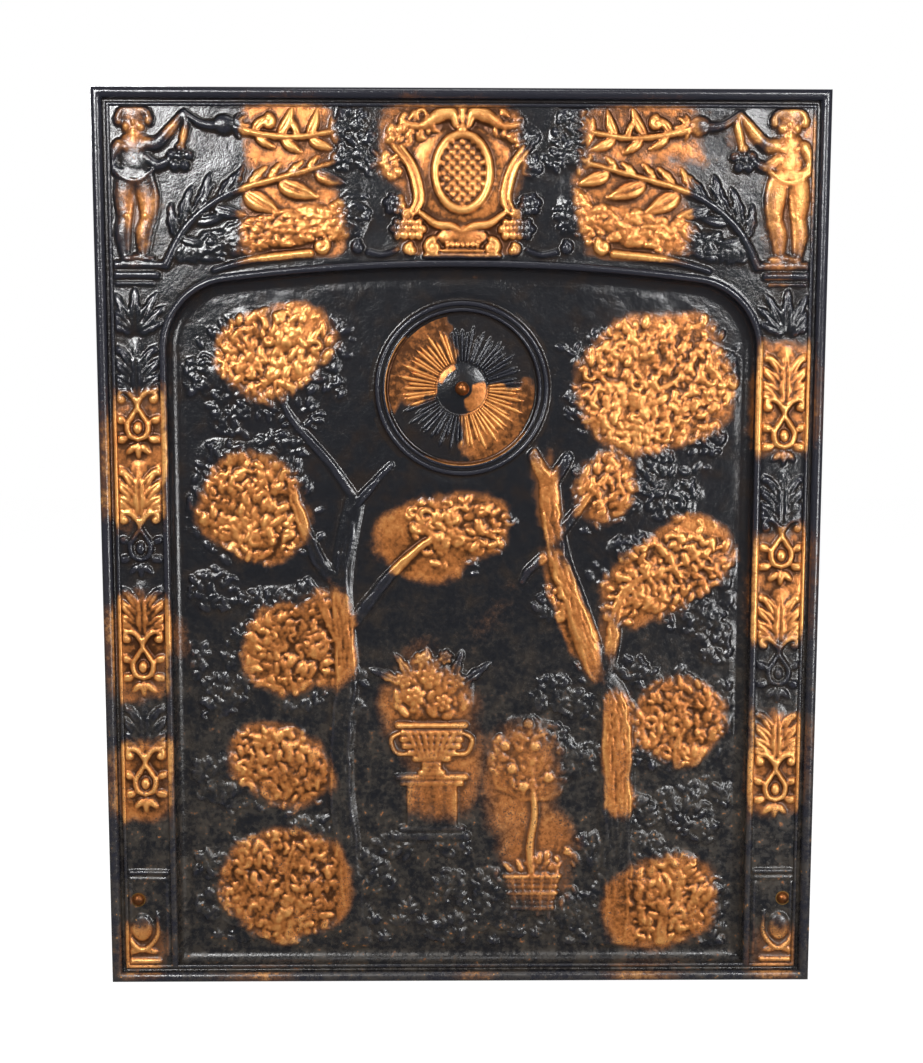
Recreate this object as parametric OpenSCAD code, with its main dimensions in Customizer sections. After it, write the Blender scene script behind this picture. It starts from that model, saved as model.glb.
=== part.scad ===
// Fireplace summer cover: one sheet of steel pressed into a framed arch, with its edges folded back,
// a flue collar with a pull-out sunburst stop, and two turn buttons behind the plinths. The relief has
// its main forms here: fine carving is left to the visual model.
// Shapes are drawn as [across, up, out] on the sheet and stood upright at the end.

/* [Sheet] */
// Width over the folded sides
cover_w = 610; // [590:1:680]
// Height from the resting edge to the top edge
cover_h = 762; // [750:1:820]
// Thickness of the pressed sheet
sheet_t = 0.9; // [0.6:0.1:1.1]
// Depth from the flange's rear edge to the crown of the rim
rim_depth = 22; // [20:0.5:28]
// Depth from the flange's rear edge to the face of the recessed field
field_depth = 8; // [7:0.5:9]

/* [Border] */
// Radius of the rolled rim
rim_r = 4.5; // [4:0.1:5]
// Radius of the groove inside the rim
groove_r = 1.6; // [1.4:0.1:1.8]
// Radius of the thin bead inside the groove
fillet_r = 1.6; // [1.4:0.1:1.8]
// Width of the bow in the rear edge of the top flange
bow_w = 50; // [30:1:70]
// Rise of that bow over the top edge
bow_rise = 2.5; // [1:0.1:4]
// Place of the bow, left of the middle
bow_x = 38; // [0:1:120]

/* [Arch] */
// Width of each pilaster, from the outer edge to the arch bead
pilaster_w = 55; // [54:1:58]
// Height of the frieze, from the top edge down to the crown of the arch
frieze_h = 142; // [138:1:146]
// Drop from the crown of the arch to its springing
spring_drop = 72; // [68:1:78]
// Radius of the arch's haunches
haunch_r = 60; // [50:1:70]
// Radius of the bead round the arch
arch_bead_r = 3; // [2.5:0.1:3.5]

/* [Flue ring] */
// Drop from the crown of the arch to the flue hole's centre
flue_drop = 103.5; // [100:0.5:112]
// Radius over the ring's outer bead
ring_r = 73.5; // [72:0.5:76]
// Radius of the ring's outer bead
ring_bead_r = 2; // [1.6:0.1:2.2]
// Radius of the groove between the ring's two beads
ring_groove_r = 1; // [0.8:0.1:1.2]
// Radius of the ring's inner lip
ring_lip_r = 1.5; // [1.2:0.1:1.8]
// Radius of the coves that raise the ring from the field
ring_cove_r = 2.5; // [2:0.1:3]

/* [Flue collar] */
// Outer radius of the collar
collar_r = 56.5; // [55:0.5:57]
// Wall of the collar
collar_t = 0.8; // [0.6:0.1:1]
// Width of the collar's turned-out front flange
collar_flange_w = 4; // [3:0.1:4.5]
// Length of the collar behind the flange's rear edge
collar_reach = 38; // [30:1:60]
// Radius of the bead swaged behind the sheet
swage_r = 2; // [1.5:0.1:2.5]

/* [Flue stop] */
// Thickness of the stop's disc
disc_t = 0.7; // [0.5:0.1:0.9]
// Gap between the disc and the foot of the ring
disc_gap = 0.5; // [0.3:0.1:1]
// Radius of the disc's plain boss
boss_r = 21; // [18:0.5:23]
// Height of the boss
boss_k = 2.6; // [2:0.1:3.5]
// Number of pressed rays
rays = 64; // [40:1:72]
// Shortest ray
ray_len = 25; // [20:1:28]
// How much longer the longest ray is
ray_vary = 9; // [0:1:10]
// Radius of a ray at its outer end
ray_r = 1; // [0.7:0.1:1.1]
// Radius of the ball knob
knob_r = 6; // [5:0.1:7]
// Radius of the knob's neck
neck_r = 3; // [2.8:0.1:4]
// Length of the neck in front of the boss
neck_len = 1; // [0.5:0.1:3]
// Width of each spring strip
strip_w = 12; // [8:0.5:14]
// Thickness of each spring strip
strip_t = 0.8; // [0.6:0.1:1]
// Length of the spring legs behind the disc
leg_len = 34; // [28:1:38]
// Half length of a strip's flat middle
strip_flat = 40; // [36:1:44]

/* [Fasteners] */
// Radius of the pins through the disc and the pilasters
pin_r = 2.45; // [2.2:0.05:2.7]
// Running gap of a pin in its hole
pin_gap = 0.07; // [0.03:0.01:0.1]
// Side of the square nuts
nut_w = 9; // [8:0.5:10]
// Thickness of the square nuts
nut_t = 3.4; // [3:0.1:4]
// Outer radius of the rear washers
washer_r = 5.6; // [5:0.1:6.5]
// Thickness of the rear washers
washer_t = 0.8; // [0.6:0.1:1.2]
// Length of a pin past its nut
pin_end = 1.2; // [0.5:0.1:2]

/* [Turn buttons] */
// Distance of each stud from the side of the cover
stud_inset = 24; // [22:0.5:26]
// Height of the studs over the resting edge
stud_z = 74; // [72:0.5:78]
// Radius of a stud's domed head
stud_r = 5.3; // [4.5:0.1:6]
// Height of a stud's domed head
stud_k = 4; // [3:0.1:4.5]
// Outer radius of the thin washer under a stud
face_washer_r = 6.2; // [6:0.1:7]
// Thickness of the thin washer under a stud
face_washer_t = 0.6; // [0.4:0.1:0.8]
// Outer radius of the sleeve behind the sheet
sleeve_r = 4.4; // [4:0.1:5]
// Gap between the turn bar and the flange's rear edge
bar_gap = 0.6; // [0.4:0.1:1]
// Width of a turn bar
bar_w = 14; // [12:0.5:16]
// Thickness of a turn bar
bar_t = 2.2; // [1.6:0.1:3]
// Distance from the stud to the far end of a turn bar
bar_reach = 40; // [34:1:44]

/* [Relief] */
// Rise of the tree crowns over the field
crown_rise = 3.2; // [2.5:0.1:3.4]
// Rise of the trunks and the garden pieces over the field
trunk_rise = 3.4; // [2.5:0.1:3.6]
// Rise of the ornament on the frieze and the pilasters
ornament_rise = 4.4; // [3:0.1:4.8]
// Husks on each pilaster
husks = 4; // [3:1:5]
// Distance of each bearer's middle from the side
bearer_inset = 35; // [33:0.5:37]

/* [Hidden] */
$fn = 64;
big = 2000;
black = "#2a2b30";
copper = "#c8803c";
steel = "#8d8f93";
brass = "#b5924a";

ground = rim_depth - rim_r;
border_w = 2 * (rim_r + groove_r + fillet_r);
arch_half = cover_w / 2 - pilaster_w;
arch_crown = cover_h - frieze_h;
spring_z = arch_crown - spring_drop;
flue_z = arch_crown - flue_drop;
lap = sheet_t / 2;
cove_r = ground - field_depth;
haunch_x = arch_half - haunch_r;
crown_r = (haunch_x * haunch_x + spring_drop * spring_drop - haunch_r * haunch_r)
    / (2 * (spring_drop - haunch_r));
crown_z = arch_crown - crown_r;
haunch_angle = atan2(spring_z - crown_z, haunch_x);
haunch_steps = 10;
crown_steps = 12;
bead_steps = 8;
cove_steps = 6;

ring_level = field_depth + ring_cove_r;
ring_foot_r = ring_r - 2 * (ring_bead_r + ring_groove_r + ring_lip_r) - ring_cove_r;
ledge_hole_r = collar_r + 0.2;
disc_back = field_depth + collar_t;
disc_front = disc_back + disc_t;
disc_r = ring_foot_r - disc_gap;
hole_r = pin_r + pin_gap;
strip_foot = disc_back - 2 * strip_t;
stud_x = cover_w / 2 - stud_inset;
bar_front = -bar_gap;
bar_back = bar_front - bar_t;

// Room for the relief: the field from its foot to the flue ring, the frieze, and each pilaster
field_x = arch_half - arch_bead_r - cove_r;
field_foot = border_w + cove_r;
field_rise = flue_z - ring_r - ring_cove_r - field_foot;
frieze_x = cover_w / 2 - border_w;
frieze_rise = frieze_h - border_w;
bearer_x = cover_w / 2 - bearer_inset;
pilaster_x = (arch_half + arch_bead_r + frieze_x) / 2;
plinth_top = stud_z + 24;
capital_z = arch_crown - 11;
husk_pitch = (capital_z - plinth_top) / (husks + 1);

// Stands the sheet upright: across stays X, up becomes Z, and out becomes -Y.
module upright() {
    translate([0, rim_depth / 2, 0]) rotate([90, 0, 0]) children();
}

// Sections of the sheet, drawn as [inward, out] with its thickness

module rolled_bead(r) {
    difference() {
        circle(r);
        circle(r - sheet_t);
        translate([-2 * r, -4 * r]) square(4 * r);
    }
}

module sunk_groove(r) {
    difference() {
        circle(r + sheet_t);
        circle(r);
        translate([-2 * (r + sheet_t), 0]) square(4 * (r + sheet_t));
    }
}

// Quarter of a sunk groove that leads down from its left end
module cove(r) {
    intersection() {
        sunk_groove(r);
        translate([-2 * r, -2 * r]) square(2 * r);
    }
}

module border_section() {
    square([sheet_t, ground]);
    translate([rim_r, ground]) rolled_bead(rim_r);
    translate([2 * rim_r + groove_r, ground]) sunk_groove(groove_r);
    translate([border_w - fillet_r, ground]) rolled_bead(fillet_r);
}

module ring_section() {
    translate([ring_r + ring_cove_r, ring_level]) cove(ring_cove_r);
    translate([ring_r - ring_bead_r, ring_level]) rolled_bead(ring_bead_r);
    translate([ring_r - 2 * ring_bead_r - ring_groove_r, ring_level]) sunk_groove(ring_groove_r);
    translate([ring_foot_r + ring_cove_r + ring_lip_r, ring_level]) rolled_bead(ring_lip_r);
    translate([ring_foot_r, ring_level]) mirror([1, 0]) cove(ring_cove_r);
    translate([ledge_hole_r, field_depth - sheet_t]) square([ring_foot_r - ledge_hole_r, sheet_t]);
}

// Face sheet: border, arch and plates

module border_side(length, middle) {
    translate([0, -middle, 0])
        intersection() {
            rotate([90, 0, 90]) linear_extrude(length, center = true) border_section();
            translate([0, 0, -1])
                linear_extrude(rim_depth + 2)
                    polygon([
                        [-length / 2, 0], [length / 2, 0],
                        [length / 2 - border_w, border_w], [border_w - length / 2, border_w],
                    ]);
        }
}

module border() {
    translate([0, cover_h / 2, 0]) {
        for (turn = [0, 180]) rotate([0, 0, turn]) border_side(cover_w, cover_h / 2);
        for (turn = [90, 270]) rotate([0, 0, turn]) border_side(cover_h, cover_w / 2);
    }
}

// Points along the arch from its right foot to its left one, drawn in from the bead's inner edge
function arch_line(inset, foot) = let (
    half = arch_half - arch_bead_r - inset,
    small = haunch_r - arch_bead_r - inset,
    large = crown_r - arch_bead_r - inset,
    sweep = 180 - 2 * haunch_angle,
    right = [for (i = [0:haunch_steps]) small * unit(i * haunch_angle / haunch_steps)],
    top = [for (i = [1:crown_steps - 1]) large * unit(haunch_angle + i * sweep / crown_steps)]
) [
    [half, foot],
    for (p = right) [haunch_x + p.x, spring_z + p.y],
    for (p = top) [p.x, crown_z + p.y],
    for (i = [haunch_steps:-1:0]) [-haunch_x - right[i].x, spring_z + right[i].y],
    [-half, foot],
];

function unit(angle) = [cos(angle), sin(angle)];
function raised(points, out) = [for (p = points) [p.x, p.y, out]];

// Skin over rows of points: each row runs along the path, and the rows go round the section.
// The first half of the rows is the front and the rest is the back, in reverse. An open path gets flat
// ends, and a closed one runs round into itself.
module swept(rows, closed) {
    count = len(rows);
    along = len(rows[0]);
    last = closed ? along - 1 : along - 2;
    function at(i, j) = (i % count) * along + j % along;
    polyhedron(
        points = [for (row = rows) each row],
        faces = [
            for (i = [0:count - 1], j = [0:last]) each [
                [at(i, j), at(i, j + 1), at(i + 1, j + 1)],
                [at(i, j), at(i + 1, j + 1), at(i + 1, j)],
            ],
            if (!closed) for (i = [0:count / 2 - 2]) let (k = count - 1 - i) each [
                [at(i, 0), at(i + 1, 0), at(k, 0)],
                [at(i + 1, 0), at(k - 1, 0), at(k, 0)],
                [at(i, along - 1), at(k, along - 1), at(i + 1, along - 1)],
                [at(i + 1, along - 1), at(k, along - 1), at(k - 1, along - 1)],
            ],
        ]
    );
}

// Bead round the arch, a half round of sheet
module arch_bead() {
    mid = -arch_bead_r;
    foot = border_w - fillet_r;
    swept([
        for (i = [0:bead_steps]) let (p = arch_bead_r * unit(i * 180 / bead_steps))
            raised(arch_line(mid + p.x, foot), ground + p.y),
        for (i = [bead_steps:-1:0]) let (p = (arch_bead_r - sheet_t) * unit(i * 180 / bead_steps))
            raised(arch_line(mid + p.x, foot), ground + p.y),
    ], false);
}

// Cove that leads from the arch and the border down to the field, all the way round
module field_cove() {
    swept([
        for (i = [cove_steps:-1:0]) let (p = cove_r * unit(180 + i * 90 / cove_steps))
            raised(arch_line(cove_r + p.x, border_w + cove_r + p.x), ground + p.y),
        for (i = [0:cove_steps]) let (p = (cove_r + sheet_t) * unit(180 + i * 90 / cove_steps))
            raised(arch_line(cove_r + p.x, border_w + cove_r + p.x), ground + p.y),
    ], true);
}

module ground_plate() {
    edge = border_w - sheet_t;
    translate([0, 0, ground - sheet_t])
        linear_extrude(sheet_t)
            difference() {
                translate([edge - cover_w / 2, edge]) square([cover_w - 2 * edge, cover_h - 2 * edge]);
                polygon(arch_line(sheet_t - 2 * arch_bead_r, -1));
                for (side = [-1, 1]) translate([side * stud_x, stud_z]) circle(hole_r);
            }
}

module field_plate() {
    translate([0, 0, field_depth - sheet_t])
        linear_extrude(sheet_t)
            difference() {
                polygon(arch_line(cove_r - lap, border_w + cove_r - lap));
                translate([0, flue_z]) circle(ring_r + ring_cove_r, $fn = 180);
            }
}

module flue_ring() {
    translate([0, flue_z, 0]) rotate_extrude($fn = 180) ring_section();
}

// Rear edge of the top flange, bowed up where the cover was prised off its frame
module flange_bow() {
    sag_r = (bow_w * bow_w / 4 + bow_rise * bow_rise) / (2 * bow_rise);
    translate([-bow_x, cover_h + bow_rise - sag_r, 0])
        intersection() {
            difference() {
                cylinder(h = 1.6, r = sag_r, $fn = 360);
                translate([0, 0, -1]) cylinder(h = 4, r = sag_r - sheet_t - bow_rise, $fn = 360);
            }
            translate([-bow_w / 2, sag_r - bow_rise - sheet_t / 2, -1]) cube([bow_w, bow_rise + sheet_t, 4]);
        }
}

// Relief pressed up from the sheet, drawn with its foot at out = 0

// Forms on the face of a plate, with what lies behind the middle of the sheet cut away
module raised_on(level) {
    intersection() {
        translate([0, 0, level]) union() children();
        translate([-cover_w / 2, 0, level - sheet_t / 2]) cube([cover_w, cover_h, rim_depth]);
    }
}

function ball_r(r, k) = (r * r + k * k) / (2 * k);

// Cap of a ball, with radius r on the sheet and rise k
module dome(at, r, k) {
    translate([at.x, at.y, k - ball_r(r, k)]) sphere(ball_r(r, k));
}

// Hollow behind such a cap, which leaves the sheet's thickness
module dome_back(at, r, k) {
    translate([at.x, at.y, k - ball_r(r, k)]) sphere(ball_r(r, k) - sheet_t);
}

// Rod from a to b, each [across, up, half width on the sheet, rise]
module rod(a, b) {
    foot = [a.x, a.y, a[3] - ball_r(a.z, a[3])];
    d = [b.x, b.y, b[3] - ball_r(b.z, b[3])] - foot;
    translate(foot)
        rotate([0, acos(d.z / norm(d)), atan2(d.y, d.x)])
            cylinder(h = norm(d), r1 = ball_r(a.z, a[3]), r2 = ball_r(b.z, b[3]));
}

// Rods along points [across, up, half width], with rounded ends and joints
module rope(points, rise) {
    ends = [for (p = points) [p.x, p.y, p.z, min(rise, 0.85 * p.z)]];
    for (i = [0:len(ends) - 2]) rod(ends[i], ends[i + 1]);
    for (e = ends) dome([e.x, e.y], 1.03 * e.z, 1.03 * e[3]);
}

// Pointed leaf, where two balls cross
module leaf(at, turn, length, width, k) {
    flat_r = (length * length + width * width) / (4 * width);
    depth = (length * length / 4 - k * k) / (2 * k);
    translate([at.x, at.y, 0])
        rotate([0, 0, turn])
            translate([length / 2, 0, -depth])
                intersection_for(side = [-1, 1])
                    translate([0, side * (flat_r - width / 2), 0]) sphere(norm([flat_r, depth]));
}

// Arc of half-round rope
module hoop(at, radius, r, from, to) {
    translate([at.x, at.y, 0])
        rotate([0, 0, from])
            rotate_extrude(angle = to - from) translate([radius, 0]) circle(r);
}

module block(at, wide, tall, k) {
    translate([at.x - wide / 2, at.y - tall / 2, -sheet_t]) cube([wide, tall, k + sheet_t]);
}

module both_sides() {
    for (side = [0, 1]) mirror([side, 0, 0]) children();
}

// Bud in a collar under three upward leaves
module husk() {
    dome([0, 0], 9, ornament_rise);
    hoop([0, 0], 12.5, 1.8, 200, 340);
    leaf([0, 14], 90, 52, 12, ornament_rise);
    for (turn = [50, 130]) leaf([0, 24], turn, 30, 11, 0.8 * ornament_rise);
}

module plinth() {
    block([0, plinth_top], 36, 3.4, 2.2);
    dome([0, 47], 11.5, ornament_rise);
    hoop([0, 46], 15, 1.8, 190, 350);
}

module pilaster() {
    translate([pilaster_x, 0, 0]) {
        plinth();
        for (i = [0:husks - 1]) translate([0, plinth_top + (i + 0.75) * husk_pitch, 0]) husk();
        block([0, capital_z], 36, 6, 3);
        for (side = [-1, 1]) leaf([5 * side, capital_z - 50], 90 - 12 * side, 42, 12, ornament_rise);
    }
}

// Standing child that holds up a garland and a horn of fruit
module bearer() {
    block([0, -2], 44, 7, 3);
    for (side = [-1, 1]) rope([[6 * side, 72, 9], [9 * side, 8, 4.5]], ornament_rise);
    rope([[2, 96, 12], [3, 78, 12.5]], ornament_rise + 0.5);
    rope([[-8, 97, 5], [-41, 118, 3.4]], ornament_rise);
    rope([[-12, 76, 4], [-44, 100, 8]], 0.8 * ornament_rise);
    dome([0, 114], 11, ornament_rise + 0.5);
}

// Upright oval with straight sides
module oval(r, half) {
    translate([-r, -half]) square([2 * r, 2 * half]);
    for (side = [-1, 1]) translate([0, side * half]) circle(r);
}

// Oval shield in its strapwork, on a foot with two scrolls, drawn from its middle
module cartouche() {
    foot = -0.6 * frieze_rise;
    translate([0, 0, -sheet_t])
        linear_extrude(ornament_rise + sheet_t)
            difference() {
                oval(27, 7);
                oval(21, 7);
            }
    dome([0, 0], 18, 0.8 * ornament_rise);
    hoop([0, -13], 33, 3.4, 225, 315);
    block([0, foot + 8], 60, 5, 3.4);
    both_sides() {
        rope([[46, 24, 4], [41, 0, 4], [36, -26, 4]], ornament_rise);
        hoop([22, foot + 18], 7, 2.6, 90, 400);
        dome([58, -38], 11, 0.8 * ornament_rise);
        leaf([10, 40], 20, 40, 13, ornament_rise);
    }
}

// Stems of the acanthus, flowers of the garland over it and scales under it, at [share across, share up]
stems = [[[0.8, 0.2], [0.62, 0.5]], [[0.6, 0.52], [0.24, 0.66]]];
flowers = [[0.72, 0.9], [0.62, 0.88], [0.52, 0.87], [0.42, 0.88], [0.33, 0.9]];
scales = [[0.3, 0.2], [0.37, 0.36], [0.44, 0.18], [0.5, 0.34], [0.57, 0.2], [0.62, 0.34]];

function in_frieze(p) = [p.x * frieze_x, p.y * frieze_rise];

module branch() {
    for (line = stems) rope([[each in_frieze(line[0]), 4], [each in_frieze(line[1]), 3.4]], ornament_rise);
    for (p = flowers) dome(in_frieze(p), 8, 0.9 * ornament_rise);
    for (p = scales) dome(in_frieze(p), 10, 0.8 * ornament_rise);
}

module frieze() {
    translate([0, arch_crown, 0]) {
        both_sides() {
            translate([bearer_x, 0, 0]) bearer();
            branch();
        }
        translate([0, frieze_rise * 0.6, 0]) cartouche();
    }
}

// Woodland in the field, at [share across, share up] below the ring or beside it

function below(p) = [p.x * field_x, field_foot + p.y * field_rise];
function beside(p) = [p.x * field_x, flue_z + p.y * ring_r];

// Each crown is [middle, radius as a share of the field's half width]
crowns = [
    [beside([-0.665, 0.33]), 0.22], [beside([0.69, 0.05]), 0.26], [below([-0.75, 0.96]), 0.2],
    [below([0.5, 0.94]), 0.12], [below([-0.02, 0.87]), 0.15], [below([0.76, 0.8]), 0.19],
    [below([-0.62, 0.65]), 0.19], [below([0.79, 0.49]), 0.16], [below([-0.66, 0.4]), 0.17],
    [below([-0.65, 0.15]), 0.21], [below([0.74, 0.13]), 0.19], [below([0.26, 0.41]), 0.15],
];

// Each trunk or branch is a line of [share across, share up, half width]
trunks = [
    [[-0.41, 0.06, 13], [-0.43, 0.76, 9]],
    [[-0.39, 0.7, 6], [-0.04, 0.88, 3.5]],
    [[-0.43, 0.76, 7], [-0.64, 1, 4]],
    [[0.57, 0.06, 16], [0.55, 0.52, 12]],
    [[0.52, 0.56, 11], [0.31, 0.97, 7]],
    [[0.54, 0.6, 6], [0.76, 0.82, 3.5]],
];

// Urn of flowers on its pedestal, drawn from the pedestal's foot
module urn() {
    block([0, 0], 60, 7, 3);
    block([0, 27], 42, 50, 2.4);
    dome([0, 84], 25, trunk_rise);
    rope([[-27, 105, 3.4], [27, 105, 3.4]], trunk_rise);
    dome([0, 136], 30, trunk_rise);
    for (i = [-1:1]) dome([17 * i, 138 + 14 * abs(i)], 10, trunk_rise);
}

// Clipped tree's tub and stem, drawn from the tub's foot
module tub() {
    block([0, 18], 40, 34, 2.6);
    rope([[0, 35, 4], [0, 92, 3.6]], trunk_rise);
}

module woodland() {
    for (c = crowns) dome(c[0], c[1] * field_x, crown_rise);
    for (line = trunks) rope([for (p = line) [each below(p), p.z]], trunk_rise);
    translate([each below([-0.11, 0.25]), 0]) urn();
    translate([each below([0.26, 0.08]), 0]) tub();
}

module face_sheet() {
    color(black) upright() {
        border();
        arch_bead();
        field_cove();
        ground_plate();
        flue_ring();
        flange_bow();
        raised_on(ground) {
            both_sides() pilaster();
            frieze();
        }
        difference() {
            union() {
                field_plate();
                raised_on(field_depth) woodland();
            }
            translate([0, 0, field_depth]) for (c = crowns) dome_back(c[0], c[1] * field_x, crown_rise);
        }
    }
}

// Flue collar

module flue_collar() {
    color(steel) upright() translate([0, flue_z, 0])
        rotate_extrude($fn = 180) {
            translate([collar_r - collar_t, -collar_reach])
                square([collar_t, collar_reach + disc_back]);
            translate([collar_r - collar_t, field_depth])
                square([collar_flange_w + collar_t, collar_t]);
            translate([collar_r, field_depth - sheet_t - swage_r - 0.05])
                intersection() {
                    circle(swage_r);
                    translate([0, -swage_r]) square(2 * swage_r);
                }
        }
}

// Flue stop

module ray(turn, length) {
    rotate([0, 0, turn])
        translate([boss_r + 1.5, 0, disc_front])
            rotate([0, 90, 0]) cylinder(h = length, r1 = ray_r * 0.6, r2 = ray_r, $fn = 16);
}

module sunburst_disc() {
    boss_ball = (boss_r * boss_r + boss_k * boss_k) / (2 * boss_k);
    color(copper) upright() translate([0, flue_z, 0])
        difference() {
            union() {
                translate([0, 0, disc_back]) cylinder(h = disc_t, r = disc_r, $fn = 180);
                translate([0, 0, disc_front + boss_k - boss_ball])
                    sphere(boss_ball, $fn = 180);
                for (i = [0:rays - 1])
                    ray(i * 360 / rays, ray_len + ray_vary * (0.5 + 0.5 * sin(i * 97) * cos(i * 31)));
            }
            translate([0, 0, disc_back - big]) cylinder(h = big, r = big / 4);
            translate([0, 0, disc_back + boss_k - boss_ball])
                sphere(boss_ball, $fn = 180);
            translate([0, 0, -1]) cylinder(h = big / 10, r = hole_r);
        }
}

module centre_knob() {
    neck_foot = disc_front + boss_k;
    pin_tip = strip_foot - washer_t - nut_t - pin_end;
    color(copper) upright() translate([0, flue_z, 0]) {
        translate([0, 0, pin_tip]) cylinder(h = neck_foot - pin_tip, r = pin_r);
        translate([0, 0, neck_foot]) cylinder(h = neck_len + knob_r, r = neck_r);
        translate([0, 0, neck_foot + neck_len + sqrt(knob_r * knob_r - neck_r * neck_r)])
            sphere(knob_r);
    }
}

// Outline of a strip bent along a path, with mitred bends
function strip_side(path, off) = let (last = len(path) - 1) [
    for (i = [0:last]) let (
        before = heading(path[max(i - 1, 0)], path[max(i, 1)]),
        after = heading(path[min(i, last - 1)], path[min(i + 1, last)]),
        half_turn = sqrt((1 + before * after) / 2),
        mid = (before + after) / norm(before + after)
    ) path[i] + off / half_turn * [-mid.y, mid.x]
];
function heading(from, to) = (to - from) / norm(to - from);
function backward(list) = [for (i = [len(list) - 1:-1:0]) list[i]];

// Flat spring whose two legs bow out to the collar's wall
module spring(level) {
    grip = sqrt(pow(collar_r - collar_t, 2) - strip_w * strip_w / 4) - 0.3 - strip_t / 2;
    leg = [
        [strip_flat, 0], [strip_flat + 5, -1], [grip - 4, -leg_len * 0.16], [grip - 1, -leg_len * 0.4],
        [grip, -leg_len * 0.62], [grip - 2, -leg_len * 0.84], [grip - 6, -leg_len],
    ];
    path = [
        for (p = backward(leg)) [-p.x, level + p.y],
        for (p = leg) [p.x, level + p.y],
    ];
    difference() {
        translate([0, strip_w / 2, 0])
            rotate([90, 0, 0])
                linear_extrude(strip_w)
                    polygon([each strip_side(path, strip_t / 2), each backward(strip_side(path, -strip_t / 2))]);
        translate([0, 0, level - 5]) cylinder(h = 10, r = hole_r);
    }
}

module upright_spring() {
    color(steel) upright() translate([0, flue_z, 0])
        rotate([0, 0, 90]) spring(disc_back - strip_t / 2);
}

module level_spring() {
    color(steel) upright() translate([0, flue_z, 0]) spring(disc_back - strip_t * 1.5);
}

module plain_washer(outer, thick, back) {
    translate([0, 0, back])
        difference() {
            cylinder(h = thick, r = outer);
            translate([0, 0, -1]) cylinder(h = thick + 2, r = hole_r);
        }
}

module square_nut(front) {
    difference() {
        translate([-nut_w / 2, -nut_w / 2, front - nut_t]) cube([nut_w, nut_w, nut_t]);
        translate([0, 0, front - nut_t - 1]) cylinder(h = nut_t + 2, r = pin_r);
    }
}

module centre_washer() {
    color(steel) upright() translate([0, flue_z, 0])
        plain_washer(washer_r, washer_t, strip_foot - washer_t);
}

module centre_nut() {
    color(steel) upright() translate([0, flue_z, 0]) square_nut(strip_foot - washer_t);
}

// Turn buttons, one behind each plinth

module at_stud(side) {
    upright() translate([side * stud_x, stud_z, 0]) children();
}

module stud(side) {
    seat = ground + face_washer_t;
    tip = bar_back - washer_t - nut_t - pin_end;
    ball = (stud_r * stud_r + stud_k * stud_k) / (2 * stud_k);
    color(copper) at_stud(side) {
        translate([0, 0, tip]) cylinder(h = seat - tip, r = pin_r);
        intersection() {
            translate([0, 0, seat + stud_k - ball]) sphere(ball);
            translate([0, 0, seat]) cylinder(h = stud_k + 1, r = stud_r + 1);
        }
    }
}

module face_washer(side) {
    color(brass) at_stud(side) plain_washer(face_washer_r, face_washer_t, ground);
}

module sleeve(side) {
    color(steel) at_stud(side)
        plain_washer(sleeve_r, ground - sheet_t - bar_front, bar_front);
}

module turn_bar(side) {
    color(steel) at_stud(side)
        translate([0, 0, bar_back])
            difference() {
                union() {
                    cylinder(h = bar_t, r = bar_w / 2);
                    translate([-bar_w / 2, 0, 0]) cube([bar_w, bar_reach - bar_w / 2, bar_t]);
                    translate([0, bar_reach - bar_w / 2, 0]) cylinder(h = bar_t, r = bar_w / 2);
                }
                translate([0, 0, -1]) cylinder(h = bar_t + 2, r = hole_r);
            }
}

module bar_washer(side) {
    color(steel) at_stud(side) plain_washer(washer_r, washer_t, bar_back - washer_t);
}

module bar_nut(side) {
    color(steel) at_stud(side) square_nut(bar_back - washer_t);
}

face_sheet();
flue_collar();
sunburst_disc();
centre_knob();
upright_spring();
level_spring();
centre_washer();
centre_nut();
stud(-1);  // left_stud
face_washer(-1);  // left_face_washer
sleeve(-1);  // left_sleeve
turn_bar(-1);  // left_turn_bar
bar_washer(-1);  // left_bar_washer
bar_nut(-1);  // left_nut
stud(1);  // right_stud
face_washer(1);  // right_face_washer
sleeve(1);  // right_sleeve
turn_bar(1);  // right_turn_bar
bar_washer(1);  // right_bar_washer
bar_nut(1);  // right_nut
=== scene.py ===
"""Visual model of a pressed fireplace summer cover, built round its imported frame.

The cover is one sheet of steel, pressed into a framed arch with a woodland in low relief, copper plated,
japanned black, and let through in soft flashes of copper. Sizes are in millimetres on the sheet unless
they say otherwise: x across, z up, and out towards the room from the rear edge of the folded flange.
"""

import logging
import math
from dataclasses import dataclass, field
from enum import Enum
from functools import cached_property
from typing import Any, Callable, Iterable, Sequence

import bpy
import numpy as np
from mathutils import Matrix, Vector


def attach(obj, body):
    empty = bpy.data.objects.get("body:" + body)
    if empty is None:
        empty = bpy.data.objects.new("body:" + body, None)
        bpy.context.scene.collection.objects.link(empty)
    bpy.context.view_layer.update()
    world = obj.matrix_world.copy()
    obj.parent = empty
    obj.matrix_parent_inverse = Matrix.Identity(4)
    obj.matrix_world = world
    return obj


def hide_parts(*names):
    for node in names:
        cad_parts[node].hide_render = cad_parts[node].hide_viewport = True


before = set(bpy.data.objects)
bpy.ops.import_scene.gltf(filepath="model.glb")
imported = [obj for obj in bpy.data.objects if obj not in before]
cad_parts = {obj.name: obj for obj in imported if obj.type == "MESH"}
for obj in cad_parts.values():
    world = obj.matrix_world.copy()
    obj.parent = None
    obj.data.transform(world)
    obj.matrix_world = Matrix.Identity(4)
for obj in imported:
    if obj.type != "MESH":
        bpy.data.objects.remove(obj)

MM = 0.001
COVER = "cover"
PLATED = "japanned_copper"
WHITE = (1.0, 1.0, 1.0, 1.0)
HANDS = (-1, 1)
Point = tuple[float, float]
Colour = tuple[float, float, float, float]
Box = tuple[float, float, float, float]
log = logging.getLogger("summer_cover")


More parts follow.
